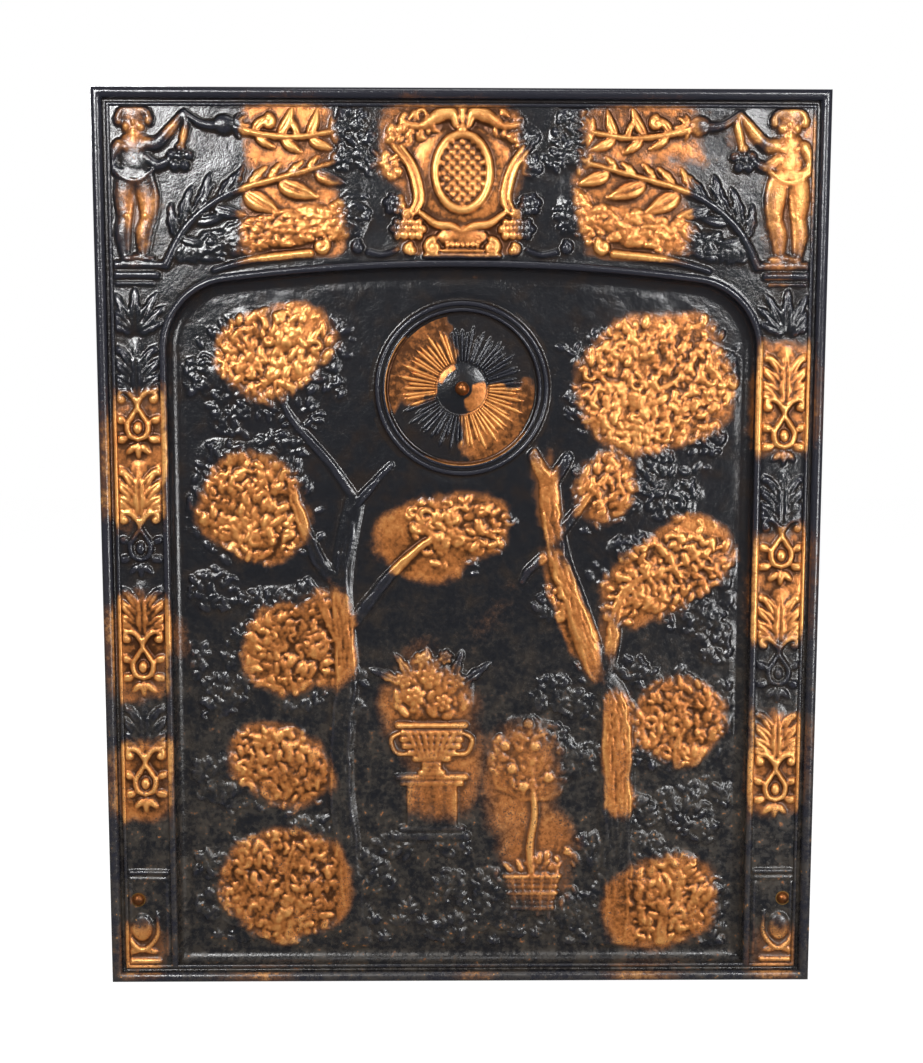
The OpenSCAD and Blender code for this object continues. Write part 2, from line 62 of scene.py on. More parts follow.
class Side(Enum):
    """The two sides of the cover, seen from the room."""

    LEFT = -1
    RIGHT = 1

    def aim(self, turn: float) -> float:
        """Direction on this side, given for the left one."""
        return turn if self is Side.LEFT else 180 - turn


class Skin(Enum):
    """The two faces of the pressed sheet."""

    FRONT = "front"
    BACK = "back"


# Numbers over the sheet


def srgb(red: int, green: int, blue: int) -> Colour:
    """Turns a colour as seen on a screen into a linear one.

    Args:
        red: Red from 0 to 255.
        green: Green from 0 to 255.
        blue: Blue from 0 to 255.

    Returns:
        The linear colour with full alpha.
    """
    linear = [((c / 255 + 0.055) / 1.055) ** 2.4 if c > 10 else c / 255 / 12.92 for c in (red, green, blue)]
    return (linear[0], linear[1], linear[2], 1.0)


def ease(value: np.ndarray, low: float, high: float) -> np.ndarray:
    """Smooth step from 0 at low to 1 at high."""
    share = np.clip((value - low) / (high - low), 0, 1)
    return share * share * (3 - 2 * share)


def band(value: np.ndarray, rise: Point, fall: Point) -> np.ndarray:
    """Share that eases in over the first span and out over the second one."""
    return ease(value, *rise) * (1 - ease(value, *fall))


def mottle(x: np.ndarray, z: np.ndarray, size: float, seed: int) -> np.ndarray:
    """Smooth random swell over the sheet.

    Args:
        x: Places across.
        z: Places up.
        size: Distance over which the swell changes.
        seed: Picks one pattern.

    Returns:
        Values between -1 and 1.
    """
    table = np.random.default_rng(seed).uniform(-1, 1, (256, 256))
    across = x / size + 128.37
    up = z / size + 17.71
    column = np.floor(across).astype(int)
    row = np.floor(up).astype(int)
    right = ease(across - column, 0, 1)
    above = ease(up - row, 0, 1)
    here = table[row % 256, column % 256] * (1 - right) + table[row % 256, (column + 1) % 256] * right
    over = table[(row + 1) % 256, column % 256] * (1 - right)
    over = over + table[(row + 1) % 256, (column + 1) % 256] * right
    return here * (1 - above) + over * above


def turned(x: np.ndarray, z: np.ndarray, angle: float) -> tuple[np.ndarray, np.ndarray]:
    """Places seen along and across a direction.

    Args:
        x: Places across, from the form's foot.
        z: Places up, from the form's foot.
        angle: The direction, in degrees from x.

    Returns:
        How far along the direction, and how far to its left.
    """
    turn = math.radians(angle)
    return x * math.cos(turn) + z * math.sin(turn), z * math.cos(turn) - x * math.sin(turn)


def curve_through(points: Sequence[Point], steps: int = 6) -> list[Point]:
    """Smooth curve through given points.

    Args:
        points: The places that it passes.
        steps: Pieces between two of them.

    Returns:
        Points along the curve, ends included.
    """
    padded = [points[0], *points, points[-1]]
    found: list[Point] = []
    for i in range(1, len(padded) - 2):
        before, start, end, after = (np.array(p, float) for p in padded[i - 1 : i + 3])
        for k in range(steps):
            t = k / steps
            spot = 0.5 * (
                2 * start
                + (end - before) * t
                + (2 * before - 5 * start + 4 * end - after) * t * t
                + (3 * start - before - 3 * end + after) * t**3
            )
            found.append((float(spot[0]), float(spot[1])))
    found.append(points[-1])
    return found


def spaced(values: Sequence[float], count: int) -> np.ndarray:
    """Spreads a few values evenly over a line's points, with even steps between them.

    Args:
        values: The values, from end to end.
        count: Number of points.

    Returns:
        One value per point.
    """
    return np.interp(np.linspace(0, 1, count), np.linspace(0, 1, len(values)), values)


# The sheet


@dataclass(frozen=True)
class Sheet:
    """Sizes of the pressed sheet and the lines that its mouldings follow."""

    width: float = 610.0
    height: float = 762.0
    depth: float = 22.0
    thickness: float = 0.9
    rim: float = 4.5
    groove: float = 1.6
    fillet: float = 1.6
    field: float = 8.0
    bead: float = 3.0
    cove: float = 9.5
    arch_half: float = 250.0
    crown: float = 620.0
    spring: float = 548.0
    haunch: float = 60.0
    haunch_steps: int = 24
    flue: float = 516.5

    @property
    def ground(self) -> float:
        """Level of the frieze and the pilasters."""
        return self.depth - self.rim

    @property
    def border(self) -> float:
        """Width of the border's mouldings."""
        return 2 * (self.rim + self.groove + self.fillet)

    @property
    def haunch_across(self) -> float:
        """Distance of a haunch's centre from the middle."""
        return self.arch_half - self.haunch

    @property
    def crown_radius(self) -> float:
        """Radius of the flat arc between the haunches."""
        rise = self.crown - self.spring
        return (self.haunch_across**2 + rise**2 - self.haunch**2) / (2 * (rise - self.haunch))

    @property
    def crown_centre(self) -> float:
        """Height of that arc's centre."""
        return self.crown - self.crown_radius

    @property
    def haunch_angle(self) -> float:
        """Angle at which a haunch meets the flat arc, in radians."""
        return math.atan2(self.spring - self.crown_centre, self.haunch_across)

    def place(self, x: np.ndarray, z: np.ndarray, out: np.ndarray) -> np.ndarray:
        """Points in the row frame, in metres, from places across and up and heights over the rear edge."""
        x, z, out = np.broadcast_arrays(x, z, out)
        return np.stack([x * MM, (self.depth / 2 - out) * MM, z * MM], axis=-1)

    def inset(self, x: np.ndarray, z: np.ndarray) -> np.ndarray:
        """How far points lie inside the inner edge of the arch's bead.

        Args:
            x: Places across.
            z: Places up.

        Returns:
            The distance, negative outside the arch.
        """
        across = np.abs(x)
        sides = self.arch_half - self.bead - across
        haunch = self.haunch - self.bead - np.hypot(across - self.haunch_across, z - self.spring)
        crown = self.crown_radius - self.bead - np.hypot(x, z - self.crown_centre)
        angle = np.arctan2(z - self.crown_centre, across)
        found = np.where(angle >= self.haunch_angle, crown, haunch)
        found = np.where(z < self.spring, sides, found)
        return np.minimum(found, z - self.border)

    def arch_line(self, inset: float, foot: float, pace: float = 4.0) -> np.ndarray:
        """Line along the arch from its right foot to its left one.

        Args:
            inset: Distance inside the bead's inner edge.
            foot: Height of both feet.
            pace: Rough distance between points.

        Returns:
            Points, one row each.
        """
        half = self.arch_half - self.bead - inset
        small = self.haunch - self.bead - inset
        large = self.crown_radius - self.bead - inset
        legs = int(self.spring / pace)
        arcs = int(2 * self.haunch_across / pace)
        points = [(half, foot + (self.spring - foot) * i / legs) for i in range(legs)]
        for i in range(self.haunch_steps + 1):
            angle = self.haunch_angle * i / self.haunch_steps
            across = self.haunch_across + small * math.cos(angle)
            points.append((across, self.spring + small * math.sin(angle)))
        for i in range(1, arcs):
            angle = self.haunch_angle + (math.pi - 2 * self.haunch_angle) * i / arcs
            points.append((large * math.cos(angle), self.crown_centre + large * math.sin(angle)))
        mirrored = [(-x, z) for x, z in points[: legs + self.haunch_steps + 1]]
        return np.array(points + mirrored[::-1])


# Flashes of copper


@dataclass(frozen=True)
class Flash:
    """One soft-edged patch where the japan was let through to the copper."""

    x: float
    z: float
    wide: float
    high: float
    turn: float = 0.0
    strength: float = 1.0
    feather: float = 1.0
    square: float = 2.0
    sharpness: float = 1 / 11.5
    raggedness: float = 0.45
    fade: tuple[float, float] = (-1.1, 1.5)

    def at(self, x: np.ndarray, z: np.ndarray, ragged: np.ndarray) -> np.ndarray:
        """Share of copper that this patch lets through.

        Args:
            x: Places across.
            z: Places up.
            ragged: Swell that roughens the outline.

        Returns:
            Values from 0 to the patch's strength.
        """
        along, across = turned(x - self.x, z - self.z, self.turn)
        corner = np.abs(along / self.wide) ** self.square + np.abs(across / self.high) ** self.square
        inside = 1 - corner ** (1 / self.square)
        edge = inside * min(self.wide, self.high) * self.sharpness + self.raggedness * ragged
        start, end = self.fade
        return self.strength * ease(edge, start * self.feather, end * self.feather)


@dataclass(frozen=True)
class Flashes:
    """All the flashes of the cover."""

    sheet: Sheet = field(default_factory=Sheet)
    patches: tuple[Flash, ...] = (
        # Tree crowns of the woodland
        Flash(-164, 543, 46, 38, 0),
        Flash(-140, 560, 38, 28, -10, 1.0),
        Flash(163, 520, 66, 60, 12, 1.0, 1.0, 2.3),
        Flash(-181, 424, 50, 42, 18),
        Flash(-163, 405, 38, 34, 30),
        Flash(-28, 388, 46, 36, -5),
        Flash(10, 398, 36, 32, 10),
        Flash(74, 425, 14, 38, 5, 0.95, 0.8),
        Flash(121, 433, 27, 33, -25),
        Flash(196, 374, 42, 36, 10),
        Flash(160, 350, 44, 36, 30),
        Flash(-150, 292, 42, 44, 0),
        Flash(-120, 300, 30, 46, 0),
        Flash(188, 229, 38, 41, -20),
        Flash(-160, 196, 44, 34, 0, 0.95),
        Flash(-146, 180, 38, 30, 0, 0.95),
        Flash(-154, 82, 56, 52, 5, 1.0, 1.0, 2.2),
        Flash(176, 66, 51, 42, 8, 0.95, 1.0, 2.4),
        # Leaning trunk
        Flash(97, 320, 12, 58, 22, 0.95, 0.6, 3),
        Flash(136, 203, 16, 54, 0, 0.95, 0.6, 3),
        Flash(128, 300, 10, 32, 8, 0.7, 0.8),
        # Garden pieces in the middle
        Flash(-30, 236, 44, 62, 0, 0.72, 1.5),
        Flash(-14, 186, 42, 56, -10, 0.64, 1.5),
        Flash(52, 176, 44, 60, 0, 0.62, 1.5),
        Flash(22, 318, 26, 66, -34, 0.34, 2.2),
        Flash(68, 112, 42, 54, -10, 0.62, 1.5),
        # Streaks beside the pilasters
        Flash(-243, 301, 11, 42, 0, 0.6, 1.2),
        Flash(248, 341, 10, 26, 0, 0.7, 1.2),
        # Frieze
        Flash(-142, 724, 42, 34, 0, 0.95, 1.0, 4),
        Flash(-140, 657, 46, 40, 0, 1.0, 1.0, 4),
        Flash(-8, 716, 58, 42, 0, 0.95, 1.0, 4),
        Flash(-2, 656, 52, 44, 0, 1.0, 1.0, 4),
        Flash(152, 728, 52, 28, 0, 0.85, 1.0, 4),
        Flash(143, 662, 50, 46, 12, 1.0, 1.0, 4),
        Flash(-270, 724, 17, 26, 0, 0.72, 1.4, 2.5),
        Flash(-268, 655, 20, 44, 0, 0.62, 1.4, 3),
        Flash(-232, 724, 14, 22, 40, 0.6, 1.2),
        Flash(272, 680, 24, 72, -4, 0.8, 1.3, 3),
        Flash(233, 725, 16, 18, -40, 0.7, 1.2),
        # Left side
        Flash(-280, 454, 34, 56, 0, 0.95, 0.9, 6),
        Flash(-280, 300, 34, 47, 0, 0.92, 0.9, 6),
        Flash(-281, 178, 34, 36, 0, 0.85, 1.0, 6),
        Flash(-282, 30, 26, 28, 0, 0.72, 1.2, 5),
        # Right side
        Flash(279, 512, 32, 50, 0, 0.95, 0.9, 6),
        Flash(279, 347, 32, 49, 0, 0.92, 0.9, 6),
        Flash(279, 195, 32, 47, 0, 0.88, 0.9, 6),
        Flash(278, 30, 26, 28, 0, 0.55, 1.2, 5),
        # Bottom strip
        Flash(-176, 8, 36, 12, 0, 0.4, 1.2, 3),
        Flash(13, 8, 27, 12, 0, 0.4, 1.2, 3),
        Flash(156, 8, 32, 12, 0, 0.4, 1.2, 3),
        # Studs
        Flash(-281, 74, 9, 9, 0, 0.9, 0.6),
    )

    def at(self, x: np.ndarray, z: np.ndarray) -> np.ndarray:
        """Share of copper at points of the sheet. The outer mouldings and the arch's bead stay nearly black.

        Args:
            x: Places across.
            z: Places up.

        Returns:
            Values from 0 to 1.
        """
        ragged = mottle(x, z, 30, 5) + 0.35 * mottle(x, z, 8, 6)
        found = np.zeros(np.shape(x))
        for patch in self.patches:
            found = np.maximum(found, patch.at(x, z, ragged))
        sides = 0.68 * ease(-x, 289, 300) + 0.72 * ease(x, 287, 298)
        rim = np.maximum(sides, 0.72 * ease(z, 743, 750))
        inset = self.sheet.inset(x, z)
        bead = ease(np.minimum(-inset, z - 600), 4, 16) + (inset > 6) + (z < 608)
        return found * (1 - rim) * np.clip(bead, 0.12, 1)


# Pressed relief


class Relief:
    """Height map of pressed metal over a window of the sheet, made of lumps that rise from its floor."""

    def __init__(self, box: Box, pitch: float) -> None:
        """Lays out an empty map.

        Args:
            box: Left, right, lower and upper edge.
            pitch: Distance between the map's points.
        """
        x0, x1, z0, z1 = box
        self.pitch = pitch
        self.x = np.linspace(x0, x1, int(round((x1 - x0) / pitch)) + 1)
        self.z = np.linspace(z0, z1, int(round((z1 - z0) / pitch)) + 1)
        self.height = np.zeros((len(self.z), len(self.x)))

    def window(self, x: float, z: float, rx: float, rz: float) -> tuple[tuple, np.ndarray, np.ndarray]:
        """Part of the map round a place.

        Args:
            x: Centre across.
            z: Centre up.
            rx: Half width.
            rz: Half height.

        Returns:
            The slices of the map, and its places across and up.
        """
        left, right = np.searchsorted(self.x, (x - rx, x + rx))
        low, high = np.searchsorted(self.z, (z - rz, z + rz))
        where = (slice(low, high), slice(left, right))
        across, up = np.meshgrid(self.x[where[1]], self.z[where[0]])
        return where, across, up

    def press(self, where: tuple, lump: np.ndarray) -> None:
        """Raises the map to a lump where the lump stands higher."""
        self.height[where] = np.maximum(self.height[where], lump)

    def dome(
        self, x: float, z: float, rx: float, rz: float, lift: float, turn: float = 0.0, floor: float = 0.0
    ) -> None:
        """Presses a rounded oval lump.

        Args:
            x: Centre across.
            z: Centre up.
            rx: Half width.
            rz: Half height.
            lift: Height of the lump.
            turn: Tilt in degrees.
            floor: Level that it stands on.
        """
        reach = max(rx, rz)
        where, across, up = self.window(x, z, reach, reach)
        along, aside = turned(across - x, up - z, turn)
        depth = np.clip(1 - (along / rx) ** 2 - (aside / rz) ** 2, 0, 1)
        self.press(where, np.where(depth > 0, floor + lift * np.sqrt(depth), 0))

    def stroke(
        self, points: Sequence[Point], radii: Sequence[float] | float, lift: float, floor: float = 0.0
    ) -> None:
        """Presses a rounded rope along a line.

        Args:
            points: The line's points.
            radii: Radius at each point, at a few even places along the line, or everywhere.
            lift: Height of the rope at its widest.
            floor: Level that it stands on.
        """
        radius = spaced(np.atleast_1d(radii), len(points))
        widest = radius.max()
        for i in range(len(points) - 1):
            (ax, az), (bx, bz) = points[i], points[i + 1]
            wide = max(radius[i], radius[i + 1])
            half_x, half_z = abs(bx - ax) / 2 + wide, abs(bz - az) / 2 + wide
            where, across, up = self.window((ax + bx) / 2, (az + bz) / 2, half_x, half_z)
            length = max((bx - ax) ** 2 + (bz - az) ** 2, 1e-9)
            share = np.clip(((across - ax) * (bx - ax) + (up - az) * (bz - az)) / length, 0, 1)
            away = np.hypot(across - ax - share * (bx - ax), up - az - share * (bz - az))
            here = radius[i] + share * (radius[i + 1] - radius[i])
            depth = np.clip(1 - (away / here) ** 2, 0, 1)
            rope = floor + lift * np.sqrt(depth) * np.sqrt(here / widest)
            self.press(where, np.where(depth > 0, rope, 0))

    def rope(self, points: Sequence[Point], radii: Sequence[float] | float, lift: float) -> None:
        """Presses a rounded rope along a smooth curve through the points."""
        self.stroke(curve_through(points), radii, lift)

    def bar(self, x: float, z: float, half: float, radius: float, lift: float) -> None:
        """Presses a level bar that reaches half its length to either side of a place."""
        self.stroke([(x - half, z), (x + half, z)], radius, lift)

    def leaf(
        self,
        x: float,
        z: float,
        length: float,
        wide: float,
        turn: float,
        lift: float,
        bend: float = 0.0,
        rib: float = 0.45,
        lobes: int = 0,
        floor: float = 0.0,
    ) -> None:
        """Presses a pointed leaf with a sunk midrib.

        Args:
            x: Foot of the leaf, across.
            z: Foot of the leaf, up.
            length: Length along its rib.
            wide: Greatest width.
            turn: Direction in degrees from x.
            lift: Height of the leaf.
            bend: How far the tip curls to the left, as a share of the length.
            rib: Depth of the midrib, as a share of the height.
            lobes: Number of lobes on each side.
            floor: Level that it stands on.
        """
        reach = length * (1 + abs(bend)) + wide
        where, across, up = self.window(x, z, reach, reach)
        along, aside = turned(across - x, up - z, turn)
        share = np.clip(along / length, 0, 1)
        aside = aside - bend * length * share * share
        half = wide / 2 * np.sin(math.pi * share**0.72) ** 0.75 + 1e-6
        if lobes:
            half = half * (0.68 + 0.32 * np.abs(np.sin(math.pi * lobes * share)))
        body = np.sqrt(np.clip(1 - (aside / half) ** 2, 0, 1))
        sunk = 1 - rib * np.exp(-((aside / (0.11 * wide)) ** 2))
        shape = lift * body * sunk * (0.55 + 0.45 * np.sin(math.pi * share))
        inside = (along > 0) & (along < length) & (np.abs(aside) < half)
        self.press(where, np.where(inside, floor + shape, 0))

    def scroll(
        self, x: float, z: float, size: float, wire: float, start: float, hand: int, lift: float
    ) -> None:
        """Presses a volute.

        Args:
            x: Centre across.
            z: Centre up.
            size: Outer radius.
            wire: Radius of its rope.
            start: Angle at which it begins, in degrees.
            hand: 1 to wind in anticlockwise, -1 clockwise.
            lift: Height of the rope.
        """
        points = []
        for i in range(30):
            angle = math.radians(start + hand * i * 17)
            radius = (size - wire) * (1 - i / 34)
            points.append((x + radius * math.cos(angle), z + radius * math.sin(angle)))
        self.stroke(points, (wire, wire * 0.6), lift)
        self.dome(x, z, wire * 1.2, wire * 1.2, lift)

    def fan(
        self, x: float, z: float, size: float, spread: float, leaves: int, turn: float, lift: float
    ) -> None:
        """Presses a fan of leaves from one foot.

        Args:
            x: Foot across.
            z: Foot up.
            size: Length of the middle leaf.
            spread: Angle between the outermost leaf and the middle one.
            leaves: Number of leaves on each side of the middle.
            turn: Direction of the middle leaf in degrees.
            lift: Height of the leaves.
        """
        for i in range(leaves, 0, -1):
            share = i / leaves
            length, rise = size * (1 - 0.3 * share), lift * (0.95 - 0.15 * share)
            for hand in HANDS:
                lean = turn + hand * spread * share
                self.leaf(x, z, length, size * 0.3, lean, rise, hand * 0.16, lobes=2)
        self.leaf(x, z, size, size * 0.34, turn, lift, lobes=3)

    def flower(self, x: float, z: float, size: float, petals: int, lift: float, floor: float = 0.0) -> None:
        """Presses an open flower.

        Args:
            x: Centre across.
            z: Centre up.
            size: Outer radius.
            petals: Number of petals.
            lift: Height of the petals.
            floor: Level that it stands on.
        """
        for i in range(petals):
            angle = 360 * i / petals + 18
            reach = 0.58 * size
            px = x + reach * math.cos(math.radians(angle))
            pz = z + reach * math.sin(math.radians(angle))
            self.dome(px, pz, size * 0.45, size * 0.34, lift, angle, floor)
        self.dome(x, z, size * 0.3, size * 0.3, lift * 1.25, 0, floor)

    def bunch(
        self, x: float, z: float, rx: float, rz: float, grain: float, lift: float, turn: float = 0.0
    ) -> None:
        """Presses a cluster of round berries.

        Args:
            x: Centre across.
            z: Centre up.
            rx: Half width of the cluster.
            rz: Half height of the cluster.
            grain: Radius of one berry.
            lift: Height of a berry.
            turn: Tilt in degrees.
        """
        step = grain * 1.7
        slope = math.radians(turn)
        for row in range(-int(rz / step) - 1, int(rz / step) + 2):
            for column in range(-int(rx / step) - 1, int(rx / step) + 2):
                along = (column + 0.5 * (row % 2)) * step
                aside = row * step * 0.87
                if (along / rx) ** 2 + (aside / rz) ** 2 > 1:
                    continue
                px = x + along * math.cos(slope) - aside * math.sin(slope)
                pz = z + along * math.sin(slope) + aside * math.cos(slope)
                crown = math.sqrt(max(0.0, 1 - 0.7 * ((along / rx) ** 2 + (aside / rz) ** 2)))
                self.dome(px, pz, grain, grain, lift * 0.7, 0, lift * 0.5 * crown)

    def foliage(
        self,
        x: float,
        z: float,
        rx: float,
        rz: float,
        seed: int,
        lift: float,
        size: float = 9.0,
        mound: float = 0.4,
        fill: float = 1.0,
        grains: bool = False,
    ) -> None:
        """Presses a crown of crowded curls and lumps over a low mound.

        Args:
            x: Centre across.
            z: Centre up.
            rx: Half width.
            rz: Half height.
            seed: Picks the places of the lumps.
            lift: Height of the crown.
            size: Length of one lump.
            mound: Share of the height that the mound takes.
            fill: How thickly the lumps lie.
            grains: Whether the lumps are slanting grains alone.
        """
        rng = np.random.default_rng(seed)
        where, across, up = self.window(x, z, rx, rz)
        reach = ((across - x) / rx) ** 2 + ((up - z) / rz) ** 2 + 0.3 * mottle(across, up, 12, seed)
        self.press(where, lift * mound * np.clip(1 - reach, 0, 1) ** 0.5)
        wave = rng.uniform(0, 2 * math.pi, 3)
        for _ in range(int(fill * rx * rz * math.pi / (size * size * 0.3))):
            angle = rng.uniform(0, 2 * math.pi)
            edge = 0.86 + 0.1 * math.sin(3 * angle + wave[0]) + 0.07 * math.sin(7 * angle + wave[1])
            out = edge * math.sqrt(rng.uniform(0, 1))
            px = x + rx * out * math.cos(angle)
            pz = z + rz * out * math.sin(angle)
            floor = lift * mound * max(0.0, 1 - out * out) ** 0.5 * rng.uniform(0.3, 1.0)
            rise = lift * (1 - mound) * rng.uniform(0.45, 1.0)
            turn = rng.uniform(0, 360)
            length = size * rng.uniform(0.5, 1.2)
            if grains:
                slant = -28 + 0.15 * turn
                self.dome(px, pz, length * 0.62, length * 0.34, rise, slant if x < 0 else 180 - slant, floor)
            elif rng.uniform() < 0.86:
                spray = math.degrees(math.atan2(pz - z + rz, px - x)) + 0.3 * (turn - 180)
                self.dome(px, pz, length * 0.58, length * rng.uniform(0.24, 0.38), rise, spray, floor)
            else:
                self.curl(px, pz, length * 0.4, turn, rise, floor)

    def curl(self, x: float, z: float, size: float, turn: float, lift: float, floor: float = 0.0) -> None:
        """Presses a short curled leaf edge.

        Args:
            x: Centre across.
            z: Centre up.
            size: Radius of the curl.
            turn: Where it begins, in degrees.
            lift: Height of the edge.
            floor: Level that it stands on.
        """
        angles = np.radians(turn + np.linspace(0, 190, 6))
        points = [(x + size * math.cos(a), z + 0.8 * size * math.sin(a)) for a in angles]
        self.stroke(points, (size * 0.3, size * 0.5, size * 0.28), lift, floor)

    def soften(self, size: float) -> None:
        """Rounds every edge to a radius, as a press does."""
        self.height = self.spread(self.height, size)

    def spread(self, values: np.ndarray, size: float) -> np.ndarray:
        """Blurs a map of this window.

        Args:
            values: The map.
            size: Radius of the blur.

        Returns:
            The blurred map.
        """
        reach = max(1, int(math.ceil(2.5 * size / self.pitch)))
        weights = np.exp(-0.5 * (np.arange(-reach, reach + 1) * self.pitch / size) ** 2)
        weights = weights / weights.sum()
        for axis in (0, 1):
            padded = np.pad(values, [(reach, reach) if a == axis else (0, 0) for a in (0, 1)], mode="edge")
            total = np.zeros_like(values)
            for k, weight in enumerate(weights):
                total += weight * np.take(padded, np.arange(k, k + values.shape[axis]), axis=axis)
            values = total
        return values

    def worn(self) -> np.ndarray:
        """How far each point stands over its surroundings, from -1 in a hollow to 1 on a ridge; the finish
        uses it for wear and for painted highlights and shade.
        """
        return np.clip((self.height - self.spread(self.height, 3.0)) / 0.9, -1, 1)


# Meshes


def mesh_from(name: str, points: np.ndarray, faces: np.ndarray) -> bpy.types.Mesh:
    """Makes a mesh of four-cornered faces.

    Args:
        name: Name of the mesh.
        points: Corners in metres, one row each.
        faces: Four corner numbers per row.

    Returns:
        The mesh, shaded smooth.
    """
    mesh = bpy.data.meshes.new(name)
    mesh.vertices.add(len(points))
    mesh.vertices.foreach_set("co", points.astype(np.float32).ravel())
    mesh.loops.add(faces.size)
    mesh.loops.foreach_set("vertex_index", faces.astype(np.int32).ravel())
    mesh.polygons.add(len(faces))
    mesh.polygons.foreach_set("loop_start", np.arange(0, faces.size, 4, dtype=np.int32))
    mesh.update(calc_edges=True)
    mesh.shade_smooth()
    return mesh


def give(mesh: bpy.types.Mesh, name: str, values: np.ndarray) -> None:
    """Stores one number per point, for the finish to read."""
    mesh.attributes.new(name, "FLOAT", "POINT").data.foreach_set("value", values.astype(np.float32).ravel())


def lay_map(mesh: bpy.types.Mesh, places: np.ndarray) -> None:
    """Lays the mesh out flat, with one place per point.

    Args:
        mesh: The mesh.
        places: Places between 0 and 1, one row per point.
    """
    corners = np.empty(len(mesh.loops), dtype=np.int32)
    mesh.loops.foreach_get("vertex_index", corners)
    layer = mesh.uv_layers.new(name="OFBake")
    layer.data.foreach_set("uv", places[corners].astype(np.float32).ravel())


def add_piece(mesh: bpy.types.Mesh, body: str = COVER) -> bpy.types.Object:
    """Adds a piece of japanned sheet to the scene, riding on its body.

    Args:
        mesh: Its mesh.
        body: The body that carries it.

    Returns:
        The piece.
    """
    piece = bpy.data.objects.new(mesh.name, mesh)
    bpy.context.scene.collection.objects.link(piece)
    mesh.materials.append(JAPAN.material())
    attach(piece, body)
    return piece


def swept(name: str, rows: Sequence[np.ndarray], closed: bool = True, crease: float = 50.0) -> bpy.types.Mesh:
    """Skins rows of points that run along a path and go round a section.

    Args:
        name: Name of the mesh.
        rows: One row of points for each point of the section, in metres.
        closed: Whether the path runs round into itself.
        crease: Angle in degrees from which an edge is sharp.

    Returns:
        The mesh.
    """
    along = len(rows[0])
    count = len(rows)
    i = np.arange(count)[:, None]
    j = np.arange(along if closed else along - 1)[None, :]
    after = (i + 1) % count
    ahead = (j + 1) % along
    faces = np.stack([i * along + j, after * along + j, after * along + ahead, i * along + ahead], axis=-1)
    mesh = mesh_from(name, np.concatenate(rows), faces.reshape(-1, 4))
    mesh.set_sharp_from_angle(angle=math.radians(crease))
    return mesh


def arc(x: float, out: float, radius: float, start: float, end: float, steps: int) -> list[Point]:
    """Points on an arc of a section.

    Args:
        x: Centre across the section.
        out: Centre's height.
        radius: Radius.
        start: First angle in degrees.
        end: Last angle in degrees.
        steps: Number of pieces.

    Returns:
        The points, ends included.
    """
    angles = [math.radians(start + (end - start) * i / steps) for i in range(steps + 1)]
    return [(x + radius * math.cos(a), out + radius * math.sin(a)) for a in angles]


# Shader maths


class Value:
    """A number in a finish's nodes, with Python's operators for maths on it."""

    def __init__(self, graph: "Graph", socket: bpy.types.NodeSocket) -> None:
        """Wraps a socket of a graph."""
        self.graph = graph
        self.socket = socket

    def __add__(self, other: "Value | float") -> "Value":
        """Sum."""
        return self.graph.maths("ADD", self, other)

    __radd__ = __add__

    def __sub__(self, other: "Value | float") -> "Value":
        """Difference."""
        return self.graph.maths("SUBTRACT", self, other)

    def __rsub__(self, other: "Value | float") -> "Value":
        """Difference from a plain number."""
        return self.graph.maths("SUBTRACT", other, self)

    def __mul__(self, other: "Value | float") -> "Value":
        """Product."""
        return self.graph.maths("MULTIPLY", self, other)

    __rmul__ = __mul__

    def __or__(self, other: "Value | float") -> "Value":
        """The greater of two."""
        return self.graph.maths("MAXIMUM", self, other)

    def held(self) -> "Value":
        """The number held between 0 and 1."""
        return self.graph.maths("ADD", self, 0.0, clamp=True)

    def eased(self, low: float, high: float) -> "Value":
        """Smooth step of the number.

        Args:
            low: Where it is still 0.
            high: Where it has come to 1.

        Returns:
            The step.
        """
        inputs = {"Value": self, "From Min": low, "From Max": high}
        made = self.graph.node("ShaderNodeMapRange", {"interpolation_type": "SMOOTHSTEP"}, inputs)
        return Value(self.graph, made.outputs["Result"])


